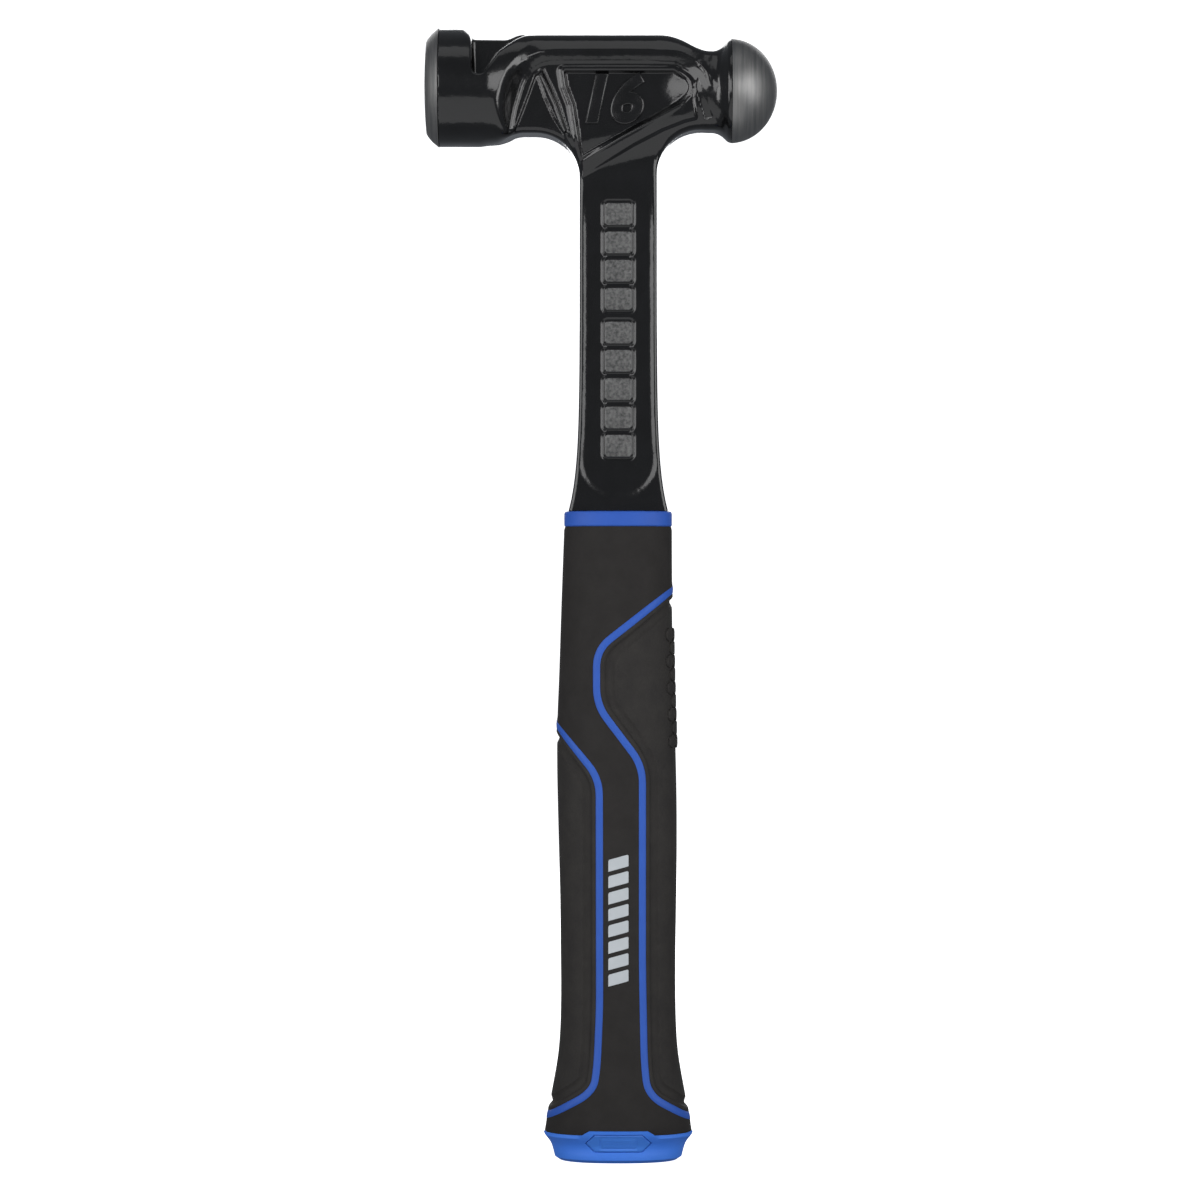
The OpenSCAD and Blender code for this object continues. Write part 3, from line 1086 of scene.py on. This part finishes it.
@dataclass
class GripForm:
    """The grip's outer form, read from the CAD nodes, as a map from the front half's unrolled skin.

    A place on the skin is (u, z): u is the distance round the skin from the middle of the front,
    positive towards the fingers, and z is the height.

    Attributes:
        squareness: exponent of the oval section.
        rows: stations of height, palm side, finger side and half depth.
        steps: points on each quarter of the section.
    """

    squareness: float = 2.4
    rows: Array = field(default_factory=lambda: GripForm.measured())
    steps: int = 200

    @staticmethod
    def measured() -> Array:
        """Cut through the CAD grip's nodes at level heights.

        Returns:
            Rows of height, palm side, finger side and half depth.
        """
        names = ("grip_body", "finger_panel", "palm_panel", "finger_piping", "palm_piping", "end_cap")
        starts, ends = (np.concatenate(p) for p in zip(*(node_edges(n) for n in names)))
        top = node_box("collar_ring")[0].z - 0.02
        cap = node_box("grip_body")[0].z
        low = [0.02, 0.4, 0.8, 1.4, 2.1, 3.3, 4.6, 0.8 * cap, cap - 0.3]
        stations = []
        for z in [*low, *np.linspace(cap + 1.5, top, 60)]:
            crosses = (starts[:, 2] - z) * (ends[:, 2] - z) <= 0
            a, b = starts[crosses], ends[crosses]
            drop = b[:, 2] - a[:, 2]
            t = np.where(np.abs(drop) > 1e-9, (z - a[:, 2]) / np.where(drop == 0, 1, drop), 0)
            level = a + t[:, None] * (b - a)
            stations.append((z, -level[:, 0].min(), level[:, 0].max(), level[:, 1].max()))
        rows = np.array(stations)
        for _ in range(2):
            rows[10:-1, 1:] = (rows[9:-2, 1:] + 2 * rows[10:-1, 1:] + rows[11:, 1:]) / 4
        return rows

    def section(self, z: Array) -> tuple[Array, Array, Array]:
        """Read the section through a smooth curve.

        Args:
            z: heights.

        Returns:
            Palm side, finger side and half depth at the heights.
        """
        heights = self.rows[:, 0]
        z = np.clip(z, heights[0], heights[-1])
        i = np.clip(np.searchsorted(heights, z, side="right") - 1, 0, len(heights) - 2)
        span = heights[i + 1] - heights[i]
        t = (z - heights[i]) / span
        out = []
        for column in (1, 2, 3):
            values = self.rows[:, column]
            slopes = np.gradient(values, heights)
            out.append(
                values[i] * (2 * t**3 - 3 * t**2 + 1)
                + values[i + 1] * (3 * t**2 - 2 * t**3)
                + slopes[i] * span * (t**3 - 2 * t**2 + t)
                + slopes[i + 1] * span * (t**3 - t**2)
            )
        return tuple(out)

    def quarter(self, half_width: Array, half_depth: Array) -> tuple[Array, Array, Array]:
        """A quarter of the section, from the middle of the front to the side.

        Args:
            half_width: half widths.
            half_depth: half depths.

        Returns:
            The points' places across and front to back, and the length run so far.
        """
        angle = np.linspace(0, np.pi / 2, self.steps)
        across = np.sin(angle) ** (2 / self.squareness)
        deep = np.cos(angle) ** (2 / self.squareness)
        x = half_width[..., None] * across
        y = half_depth[..., None] * deep
        run = np.hypot(np.diff(x, axis=-1), np.diff(y, axis=-1))
        length = np.concatenate([np.zeros(x.shape[:-1] + (1,)), np.cumsum(run, axis=-1)], axis=-1)
        return x, y, length

    @cached_property
    def table(self) -> tuple[Array, Array]:
        """Length of the quarter section on the palm side and the finger side against height.

        Returns:
            The heights, and the two sides' lengths at them.
        """
        heights = np.linspace(self.rows[0, 0], self.rows[-1, 0], 400)
        *sides, deep = self.section(heights)
        return heights, np.stack([self.quarter(half, deep)[2][:, -1] for half in sides])

    def side_u(self, z: Array, side: int) -> Array:
        """Distance round the skin from the front's middle to the side: -1 is the palm, 1 the fingers."""
        heights, lengths = self.table
        return side * np.interp(z, heights, lengths[(side + 1) // 2])

    def u_of_x(self, x: Array, z: Array) -> Array:
        """Distance round the skin at which a place of the front view lies.

        Args:
            x: places across the front view.
            z: heights.

        Returns:
            The distances round the skin.
        """
        x, z = np.broadcast_arrays(np.asarray(x, float), np.asarray(z, float))
        palm, finger, deep = self.section(z)
        half = np.where(x < 0, palm, finger)
        xs, _, lengths = self.quarter(half, deep)
        return np.sign(x) * np.array([np.interp(abs(a), b, c) for a, b, c in zip(x, xs, lengths)])

    def points(self, u: Array, z: Array, lift: Array) -> Array:
        """Points of the front half.

        Args:
            u: distances round the skin.
            z: heights.
            lift: heights over the skin.

        Returns:
            N by 3 points in millimetres.
        """
        palm, finger, deep = self.section(z)
        half = np.where(u < 0, palm, finger)
        xs, ys, lengths = self.quarter(half, deep)
        flat = np.array([
            (np.interp(abs(a), c, b), np.interp(abs(a), c, d)) for a, b, c, d in zip(u, xs, lengths, ys)
        ])
        x, y = flat[:, 0], flat[:, 1]
        power = self.squareness
        normal_x = (np.maximum(x, 0) / half) ** (power - 1) / half
        normal_y = (np.maximum(y, 0) / deep) ** (power - 1) / deep
        size = np.hypot(normal_x, normal_y)
        sign = np.where(u < 0, -1.0, 1.0)
        return np.stack([sign * (x + lift * normal_x / size), -(y + lift * normal_y / size), z], axis=1)


def even_line(points: Array, spacing: float) -> Array:
    """Place a line's points again at even spacing.

    Args:
        points: the line's points.
        spacing: distance between the new points.

    Returns:
        The new points.
    """
    points = np.asarray(points, float)
    run = np.concatenate([[0], np.cumsum(np.hypot(*np.diff(points, axis=0).T))])
    count = max(2, int(round(run[-1] / spacing)) + 1)
    places = np.linspace(0, run[-1], count)
    return np.stack([np.interp(places, run, points[:, k]) for k in (0, 1)], axis=1)


@dataclass
class Piping:
    """One coloured line of the grip's front, from the upper side edge to the lower one.

    Attributes:
        form: the grip's form.
        name: piece name.
        corners: corners of its centre line in the front view.
        side: -1 for the palm and 1 for the fingers.
        half: half width of the piping.
        rounding: length over which each corner is rounded.
    """

    form: GripForm
    name: str
    corners: Sequence[Point]
    side: int
    half: float = 1.05
    rounding: float = 5.0

    @cached_property
    def path(self) -> Array:
        """The centre line on the unrolled skin, ending on the side's edge at both ends.

        Returns:
            The line's points.
        """
        corners = [np.array(c, float) for c in self.corners]
        line = [corners[0]]
        for before, corner, after in zip(corners, corners[1:], corners[2:]):
            start = corner + (before - corner) * min(0.45, self.rounding / np.linalg.norm(before - corner))
            end = corner + (after - corner) * min(0.45, self.rounding / np.linalg.norm(after - corner))
            for t in np.linspace(0, 1, 9):
                line.append((1 - t) ** 2 * start + 2 * t * (1 - t) * corner + t**2 * end)
        line.append(corners[-1])
        line = even_line(np.array(line), 0.25)
        palm, finger, _ = self.form.section(line[:, 1])
        half = palm if self.side < 0 else finger
        line = line[np.abs(line[:, 0]) < half * 0.995]
        skin = np.stack([self.form.u_of_x(line[:, 0], line[:, 1]), line[:, 1]], axis=1)
        skin = np.array([self._to_side(skin[0], skin[3]), *skin, self._to_side(skin[-1], skin[-4])])
        return even_line(skin, 0.8)

    def _to_side(self, end: Array, inner: Array) -> Array:
        """Run a line on in its own direction to the side's edge.

        Args:
            end: the line's end.
            inner: an earlier point of the line.

        Returns:
            The point on the side's edge.
        """
        step = (end - inner) / np.linalg.norm(end - inner)
        edge = self.form.side_u(end[1], self.side)
        return end + step * (edge - end[0]) / step[0]

    def offset(self, distance: float) -> Array:
        """Move the line sideways on the skin, with its ends kept on the side's edge.

        Args:
            distance: how far, away from the panel when positive.

        Returns:
            The moved line.
        """
        path = self.path
        run = np.gradient(path, axis=0)
        run /= np.linalg.norm(run, axis=1)[:, None]
        normal = np.stack([run[:, 1], -run[:, 0]], axis=1) * self.side
        moved = path + distance * normal
        for end in (0, -1):
            moved[end] = path[end] + np.array([0, distance / (normal[end][1] or 1)])
            moved[end, 0] = self.form.side_u(moved[end, 1], self.side)
        return moved

    def build(self) -> bpy.types.Object:
        """The piping as a closed band round the panel.

        Returns:
            The band.
        """
        half = [(-1.0, -1.6), (-1.0, 0.04), (-0.8, 0.2)]
        profile = [*half, (0.0, 0.26), *[(-share, lift) for share, lift in half[::-1]]]
        rings = []
        for share, lift in profile:
            line = self.offset(share * self.half)
            rings.append(self.form.points(line[:, 0], line[:, 1], np.full(len(line), lift)))
        front = np.stack(rings, axis=1)
        back = (front * [1, -1, 1])[::-1][1:-1]
        band = np.concatenate([front, back])
        rows, columns = band.shape[:2]
        thing = mesh_object(self.name, band.reshape(-1, 3), band_faces(rows, columns))
        tidy_mesh(thing, 0.001)
        bpy.ops.object.shade_smooth_by_angle(angle=math.radians(50))
        return thing


@dataclass
class Skin:
    """A patch of the grip's skin, meshed flat on the unrolled form and then laid onto it.

    Attributes:
        form: the grip's form.
        name: piece name.
        border: closed outline on the unrolled skin.
        relief: height over the form for places on the unrolled skin.
        thick: thickness of the patch.
        creases: further points where the relief bends.
        spacing: spacing of the points in between.
        smooth: angle in degrees under which edges are shaded smooth.
    """

    form: GripForm
    name: str
    border: Array
    relief: Rule
    thick: float = 2.2
    creases: Sequence[Array] = ()
    spacing: float = 1.3
    smooth: float = 35.0

    def build(self, both_sides: bool = True) -> bpy.types.Object:
        """Mesh the patch, mirror it to the back and give it its thickness.

        Args:
            both_sides: whether the back gets a mirrored copy.

        Returns:
            The finished patch.
        """
        border = np.asarray(self.border, float)
        low, high = border.min(0), border.max(0)
        a, b = np.meshgrid(*[np.arange(start, end, self.spacing) for start, end in zip(low, high)])
        a = a + 0.5 * self.spacing * (np.arange(a.shape[0]) % 2)[:, None]
        loose = np.stack([a.ravel(), b.ravel()], axis=1)
        extra = np.concatenate([np.zeros((0, 2)), *self.creases])
        if len(extra):
            near = np.array([np.min(np.hypot(*(extra - p).T)) for p in loose])
            loose = loose[near > 0.6 * self.spacing]
        fill = np.concatenate([extra, loose])
        keep = depth_in(fill[:, 0], fill[:, 1], border) > 0.22
        flat = np.concatenate([border, fill[keep]])
        count = len(border)
        edges = [(i, (i + 1) % count) for i in range(count)]
        found = delaunay_2d_cdt([Vector(p) for p in flat], edges, [], 1, 1e-5)
        flat = np.array([tuple(p) for p in found[0]])
        faces = found[2]
        points = self.form.points(flat[:, 0], flat[:, 1], self.relief(flat[:, 0], flat[:, 1]))
        if both_sides:
            total = len(points)
            points = np.concatenate([points, points * [1, -1, 1]])
            faces = [*faces, *[[i + total for i in f][::-1] for f in faces]]
        thing = mesh_object(self.name, points, faces)
        tidy_mesh(thing, 0.002)
        add_modifier(thing, "SOLIDIFY", thickness=self.thick * MM, offset=-1)
        settle(thing)
        bpy.ops.object.shade_smooth_by_angle(angle=math.radians(self.smooth))
        return thing


@dataclass
class Grip:
    """The moulded grip: collar, main skin, side panels, piping, bumps, print and butt cap.

    Attributes:
        form: the grip's form.
        top: height of the main skin's top.
        cap_top: height of the cap's top.
    """

    form: GripForm = field(default_factory=GripForm)
    top: float = 0.0
    cap_top: float = 0.0

    def __post_init__(self) -> None:
        """Read the grip's heights from the frame."""
        self.top = node_box("collar_ring")[0].z
        self.cap_top = node_box("grip_body")[0].z

    @cached_property
    def finger_line(self) -> Piping:
        """The piping round the finger panel.

        Returns:
            The piping, not yet meshed.
        """
        top, butt = self.top, node_box("end_cap")[1].x
        corners = [
            (25, 0.936 * top), (16.2, 0.902 * top), (-6.3, 0.806 * top), (-6.3, 0.719 * top),
            (6.9, 0.624 * top), (6.9, 56), (7.4, 29.2),
            (8.4, self.cap_top + 11.6), (butt, self.cap_top + 3.9),
        ]
        return Piping(self.form, "finger_piping_band", corners, 1)

    @cached_property
    def palm_line(self) -> Piping:
        """The piping round the palm panel.

        Returns:
            The piping, not yet meshed.
        """
        top, butt = self.top, node_box("end_cap")[1].x
        corners = [
            (-25, 0.742 * top), (-17.6, 0.684 * top), (-5.5, 0.604 * top),
            (-5.4, 45), (-6.1, 28.2), (-7.2, self.cap_top + 12.6), (-butt, self.cap_top + 4.3),
        ]
        return Piping(self.form, "palm_piping_band", corners, -1)

    def side_edge(self, low: float, high: float, side: int, spacing: float = 1.0) -> Array:
        """Points along the side's edge.

        Args:
            low: first height.
            high: last height.
            side: -1 for the palm and 1 for the fingers.
            spacing: distance between the points.

        Returns:
            The points on the unrolled skin.
        """
        z = np.linspace(low, high, max(2, int(abs(high - low) / spacing) + 1))
        return np.stack([self.form.side_u(z, side), z], axis=1)

    def panel(self, line: Piping, name: str) -> Skin:
        """The soft panel inside one piping.

        Args:
            line: the piping.
            name: name of the piece.

        Returns:
            The panel's patch.
        """
        edge = line.offset(-line.half)
        seam = self.side_edge(edge[-1][1], edge[0][1], line.side)[1:-1]
        border = np.concatenate([edge, seam])
        rows = (0.35, 0.9, 1.25, 1.7, 2.3, 3.0, 3.6, 4.2, 5.0)
        creases = []
        for row in rows:
            moved = line.offset(-line.half - row)[2:-2]
            true = line_distance(moved[:, 0], moved[:, 1], edge)
            creases.append(moved[np.abs(true - row) < 0.08])

        def relief(u: Array, z: Array) -> Array:
            """Lip along the piping, groove beside it and raised middle.

            Args:
                u: distances round the skin.
                z: heights.

            Returns:
                Heights over the form.
            """
            d = line_distance(u, z, edge)
            lip = 0.16 * smooth_step(d / 0.35)
            groove = 0.95 * smooth_step((d - 1.0) / 0.9)
            middle = 0.7 * smooth_step((d - 3.2) / 1.2)
            return lip - groove + middle

        return Skin(self.form, name, border, relief, creases=creases)

    def body(self) -> Skin:
        """The main skin between the two pipings, from the cap to the collar.

        Returns:
            The skin's patch.
        """
        lines = (self.finger_line, self.palm_line)
        finger, palm = (line.offset(line.half) for line in lines)
        top, low = self.top, self.cap_top
        u_top = np.linspace(self.form.side_u(top, -1), self.form.side_u(top, 1), 40)
        border = np.concatenate([
            np.stack([u_top, np.full(40, top)], axis=1),
            self.side_edge(top, finger[0][1], 1)[1:-1],
            finger,
            self.side_edge(finger[-1][1], low, 1)[1:],
            self.tab_edge(0.12)[::-1],
            self.side_edge(low, palm[-1][1], -1)[:-1],
            palm[::-1],
            self.side_edge(palm[0][1], top, -1)[1:-1],
        ])

        def relief(u: Array, z: Array) -> Array:
            """Slight lip along the pipings, and a rounded top edge."""
            d = np.minimum(line_distance(u, z, finger), line_distance(u, z, palm))
            return 0.1 * np.exp(-((d / 0.5) ** 2)) - 0.25 * smooth_step((z - top + 0.5) / 0.5)

        rows = [line.offset(line.half + row)[2:-2] for line in lines for row in (0.4, 0.9, 1.6)]
        return Skin(self.form, "grip_skin", border, relief, creases=rows, spacing=1.5)

    def tab_edge(self, gap: float = 0.0) -> Array:
        """The cap's top edge with its raised tab on the front, from palm to fingers.

        Args:
            gap: distance above the cap.

        Returns:
            The points between the two sides on the unrolled skin.
        """
        low = self.cap_top
        tab = [(-10.5, low + gap), (-8.5, low + 1.3 + gap), (8.5, low + 1.3 + gap), (10.5, low + gap)]
        palm, finger = (self.form.side_u(low, side) for side in (-1, 1))
        line = even_line(tab, 0.8)
        runs = ((palm, line[0][0]), (line[-1][0], finger))
        level = np.full(18, low + gap)
        left, right = (np.stack([np.linspace(a, b, 18), level], axis=1)[1:-1] for a, b in runs)
        return np.concatenate([left, line, right])

    def collar(self) -> bpy.types.Object:
        """The blue collar under the shoulder.

        Returns:
            The collar.
        """
        height = node_box("collar_ring")[1].z - self.top
        profile = [
            (-2.6, 0.0), (-0.35, 0.0), (0.0, 0.35), (0.0, height - 0.7),
            (-0.2, height - 0.2), (-0.7, height), (-9.0, height), (-9.0, 0.0),
        ]
        return self.ring_piece("collar_band", [(lift, self.top + z) for lift, z in profile])

    def ring_piece(self, name: str, profile: Sequence[Point]) -> bpy.types.Object:
        """A closed ring on the form.

        Args:
            name: name of the piece.
            profile: the ring's section as points of lift and height.

        Returns:
            The ring.
        """
        side = np.linspace(0, 1, 33)
        rings = []
        for lift, z in profile:
            palm, finger = (self.form.side_u(min(z, self.top), s) for s in (-1, 1))
            u = np.concatenate([palm * (1 - side), finger * side[1:]])
            front = self.form.points(u, np.full(len(u), z), np.full(len(u), lift))
            rings.append(np.concatenate([front, (front * [1, -1, 1])[::-1][1:-1]]))
        stack = np.stack(rings)
        rows, columns = stack.shape[:2]
        thing = mesh_object(name, stack.reshape(-1, 3), band_faces(rows, columns))
        tidy_mesh(thing, 0.001)
        bpy.ops.object.shade_smooth_by_angle(angle=math.radians(40))
        return thing

    def badge_outline(self, inset: float = 0.0) -> Array:
        """Long hexagon of the badge.

        Args:
            inset: distance inside the badge's edge.

        Returns:
            The outline on the unrolled skin.
        """
        low, high = node_box("cap_badge_front")
        tip = (high.z - low.z) / 2 - inset
        half = (high.x - low.x) / 2 - 1.15 * inset
        middle = (low.z + high.z) / 2
        flat = half - tip
        upper = [(-half, 0), (-flat, tip), (flat, tip)]
        corners = [*upper, *[(-x, -z) for x, z in upper], upper[0]]
        line = even_line([(x, middle + z) for x, z in corners], 0.5)
        return np.stack([self.form.u_of_x(line[:, 0], line[:, 1]), line[:, 1]], axis=1)[:-1]

    def cap(self) -> bpy.types.Object:
        """The blue butt cap with its front and back tabs.

        Returns:
            The cap.
        """
        low = 0.0
        bottom = np.linspace(self.form.side_u(low, -1), self.form.side_u(low, 1), 60)
        border = np.concatenate([
            np.stack([bottom, np.full(60, low)], axis=1),
            self.side_edge(low, self.cap_top, 1, 0.5)[1:],
            self.tab_edge()[::-1],
            self.side_edge(self.cap_top, low, -1, 0.5)[:-1],
        ])
        badge = self.badge_outline(-0.1)
        tab_half = 11

        def relief(u: Array, z: Array) -> Array:
            """Swelling rim with a rounded edge beside the tab, and the badge's pocket.

            Args:
                u: distances round the skin.
                z: heights.

            Returns:
                Heights over the form.
            """
            pocket = 0.8 * smooth_step(depth_in(u, z, badge) / 0.12)
            rim = 0.4 * smooth_step((z - self.cap_top + 2.6) / 1.6)
            rounding = 0.5 * smooth_step((z - self.cap_top + 0.45) / 0.45) * (np.abs(u) > tab_half)
            return rim - rounding - pocket

        creases = [badge, self.badge_outline(0.05)]
        return Skin(self.form, "butt_cap", border, relief, creases=creases, spacing=0.9, thick=2.4).build()

    def badge(self) -> bpy.types.Object:
        """The badge plates with a fine line round a plain rectangle.

        Returns:
            Both plates as one object.
        """
        border = self.badge_outline(0.12)
        low, high = node_box("cap_badge_front")
        middle = (low.z + high.z) / 2
        box = [(-5.2, middle - 1.6), (5.2, middle - 1.6), (5.2, middle + 1.6), (-5.2, middle + 1.6)]

        def relief(u: Array, z: Array) -> Array:
            """Fine line round the rectangle, and a rounded rim.

            Args:
                u: distances round the skin.
                z: heights.

            Returns:
                Heights over the form.
            """
            line = np.exp(-((depth_in(u, z, box) / 0.22) ** 2))
            rim = depth_in(u, z, border)
            return 0.12 - 0.22 * line - 0.2 * (1 - smooth_step(rim / 0.3))

        rows = [even_line([*box, box[0]], 0.4), self.badge_outline(0.45)]
        return Skin(self.form, "cap_badges", border, relief, creases=rows, spacing=0.45, thick=0.7).build()

    def underside(self) -> bpy.types.Object:
        """The cap's flat underside."""
        profile = [(-0.02, 0.02), (-0.3, 0.0), (-9.0, 0.0), (-9.0, 1.8), (-1.0, 1.8)]
        return self.ring_piece("cap_sole", profile)

    def bumps(self) -> bpy.types.Object:
        """Hexagonal bumps round the finger side, in a staggered lattice.

        Returns:
            All the bumps as one object.
        """
        radius, pitch = 2.1, 4.45
        centre_z = 0.745 * self.top
        bpy.ops.mesh.primitive_cylinder_add(vertices=6, radius=radius * MM, depth=1.6 * MM)
        first = bpy.context.active_object
        add_modifier(first, "BEVEL", width=0.4 * MM, segments=3)
        settle(first)
        bpy.ops.object.shade_smooth_by_angle(angle=math.radians(40))
        copies = []
        column_step = pitch / 2
        row_step = pitch * math.sqrt(3)
        for column in range(-3, 4):
            rows = 5 if column % 2 else 4
            for row in range(rows):
                z = centre_z + (row - (rows - 1) / 2) * row_step
                u = float(self.form.side_u(z, 1)) - abs(column) * column_step
                spot, above = self.form.points(np.full(2, u), np.full(2, z), np.array([-0.3, 0.7]))
                if column < 0:
                    spot, above = spot * [1, -1, 1], above * [1, -1, 1]
                copy = copied(first)
                out = Vector(above - spot).normalized()
                across = Vector((0, 0, 1)).cross(out).normalized()
                turn = Matrix((across, out.cross(across), out)).transposed()
                copy.matrix_world = Matrix.Translation(Vector(spot) * MM) @ turn.to_4x4()
                copies.append(copy)
        bpy.data.objects.remove(first)
        return joined("finger_bumps", copies)

    def print_marks(self) -> bpy.types.Object:
        """Plain slanting bars printed up the front of the grip.

        Returns:
            All the bars as one object.
        """

        def ink_height(u: Array, z: Array) -> Array:
            """Even height of the ink."""
            return np.full(np.shape(u), 0.05)

        bars = []
        low, high, half, slant = 50.8, 90.2, 2.9, 1.6
        count = 8
        pitch = (high - low - slant) / count
        for i in range(count):
            z = low + i * pitch
            wide = 0.72 * pitch
            left, right = -half, half
            corners = [(left, z), (right, z + slant), (right, z + slant + wide), (left, z + wide), (left, z)]
            line = even_line(corners, 0.6)[:-1]
            skin = Skin(self.form, f"bar_{i}", line, ink_height, spacing=0.8, thick=0.1)
            bars.append(skin.build(both_sides=False))
        return joined("printed_bars", bars)

    def build(self) -> None:
        """Make every piece of the grip."""
        show(self.collar(), BLUE, Slot.TRIM, "collar_ring")
        show(self.body().build(), RUBBER, Slot.DARK, "grip_body")
        show(self.panel(self.finger_line, "finger_skin").build(), RUBBER_SIDE, Slot.SIDE, "finger_panel")
        show(self.panel(self.palm_line, "palm_skin").build(), RUBBER_SIDE, Slot.SIDE, "palm_panel")
        show(self.finger_line.build(), BLUE, Slot.TRIM, "finger_piping")
        show(self.palm_line.build(), BLUE, Slot.TRIM, "palm_piping")
        show(self.cap(), CAP_BLUE, Slot.CAP, "end_cap")
        show(self.underside(), CAP_BLUE, Slot.CAP)
        show(self.badge(), BADGE_BLUE, Slot.BADGE, "cap_badge_front", "cap_badge_back")
        show(self.bumps(), RUBBER_SIDE, Slot.SIDE)
        show(self.print_marks(), INK, Slot.DARK)
        core = frame["nodes"]["core_sleeve"]
        core.data.materials.clear()
        core.data.materials.append(CORE.material)


# ---------------------------------------------------------------- studio


@dataclass
class Studio:
    """White paper floor, soft lights and camera."""

    distance: float = 1320.0
    seen_width: float = 348.8
    sensor: float = 36.0

    def paper(self) -> None:
        """White paper floor that curves up all round and glows as if lit from behind."""
        flat, bend, top, around = 2200.0, 500.0, 2600.0, 96
        angles = np.linspace(0, math.pi / 2, 16)
        line = [(flat + bend * math.sin(t), bend * (1 - math.cos(t))) for t in angles]
        line.append((flat + bend, top))
        turns = np.linspace(0, 2 * math.pi, around, endpoint=False)
        points = [(r * math.cos(t), r * math.sin(t), z - 0.02) for r, z in line for t in turns]
        faces = [tuple(range(around)), *[f[::-1] for f in band_faces(len(line), around, closed=False)]]
        sheet = mesh_object("paper_floor", np.array(points), faces)
        sheet.data.materials.append(PAPER.material)
        sheet.visible_glossy = False
        sheet.visible_diffuse = False

    def area(self, name: str, place: Point3, target: Point3, size: Point, power: float) -> None:
        """Add a soft rectangular light.

        Args:
            name: the lamp's name.
            place: its centre in mm.
            target: the point that it faces, in mm.
            size: its width and height in mm.
            power: its power in watts.
        """
        bpy.ops.object.light_add(type="AREA", location=Vector(place) * MM)
        lamp = bpy.context.active_object
        lamp.name = name
        lamp.data.shape = "RECTANGLE"
        lamp.data.size, lamp.data.size_y = size[0] * MM, size[1] * MM
        lamp.data.energy = power
        lamp.rotation_euler = (Vector(target) - Vector(place)).to_track_quat("-Z", "Y").to_euler()

    def lights(self) -> None:
        """Strips at both sides, a soft top, two front lamps and a soft one behind."""
        middle = (0, 0, 180)
        self.area("left_strip", (-900, -500, 350), middle, (300, 900), 3.2)
        self.area("right_strip", (900, -500, 350), middle, (300, 900), 3.2)
        self.area("top_soft", (0, -350, 1200), (0, 0, 250), (900, 400), 0.7)
        self.area("front_left", (-860, -1320, 520), (-400, 0, 420), (1100, 760), 7.2)
        self.area("front_right", (900, -1320, 520), (400, 0, 420), (1000, 760), 6.8)
        self.area("back_soft", (0, 1300, 700), middle, (1400, 800), 8.0)
        self.area("bounce", (-50, -400, 3), (-50, -400, 500), (700, 640), 0.9)
        world = bpy.data.worlds.new("studio")
        bpy.context.scene.world = world
        world.use_nodes = True
        background = world.node_tree.nodes["Background"]
        background.inputs["Color"].default_value = linear("#BFC4CC")
        background.inputs["Strength"].default_value = 0.3

    def camera(self) -> None:
        """Camera straight in front of the hammer, at half its height."""
        data = bpy.data.cameras.new("camera")
        data.sensor_width = self.sensor
        data.lens = self.sensor * self.distance / self.seen_width
        camera = bpy.data.objects.new("camera", data)
        bpy.context.scene.collection.objects.link(camera)
        camera.location = Vector((-5.3, -self.distance, 162.1)) * MM
        camera.rotation_euler = (math.pi / 2, 0, 0)
        bpy.context.scene.camera = camera
        bpy.context.scene.view_settings.view_transform = "Standard"

    def build(self) -> None:
        """Set up the whole studio."""
        self.paper()
        self.lights()
        self.camera()


def main() -> None:
    """Build the hammer and its studio."""
    logging.basicConfig(level=logging.INFO)
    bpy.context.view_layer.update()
    Head().build()
    Grip().build()
    Studio().build()


if __name__ == "__main__":
    main()
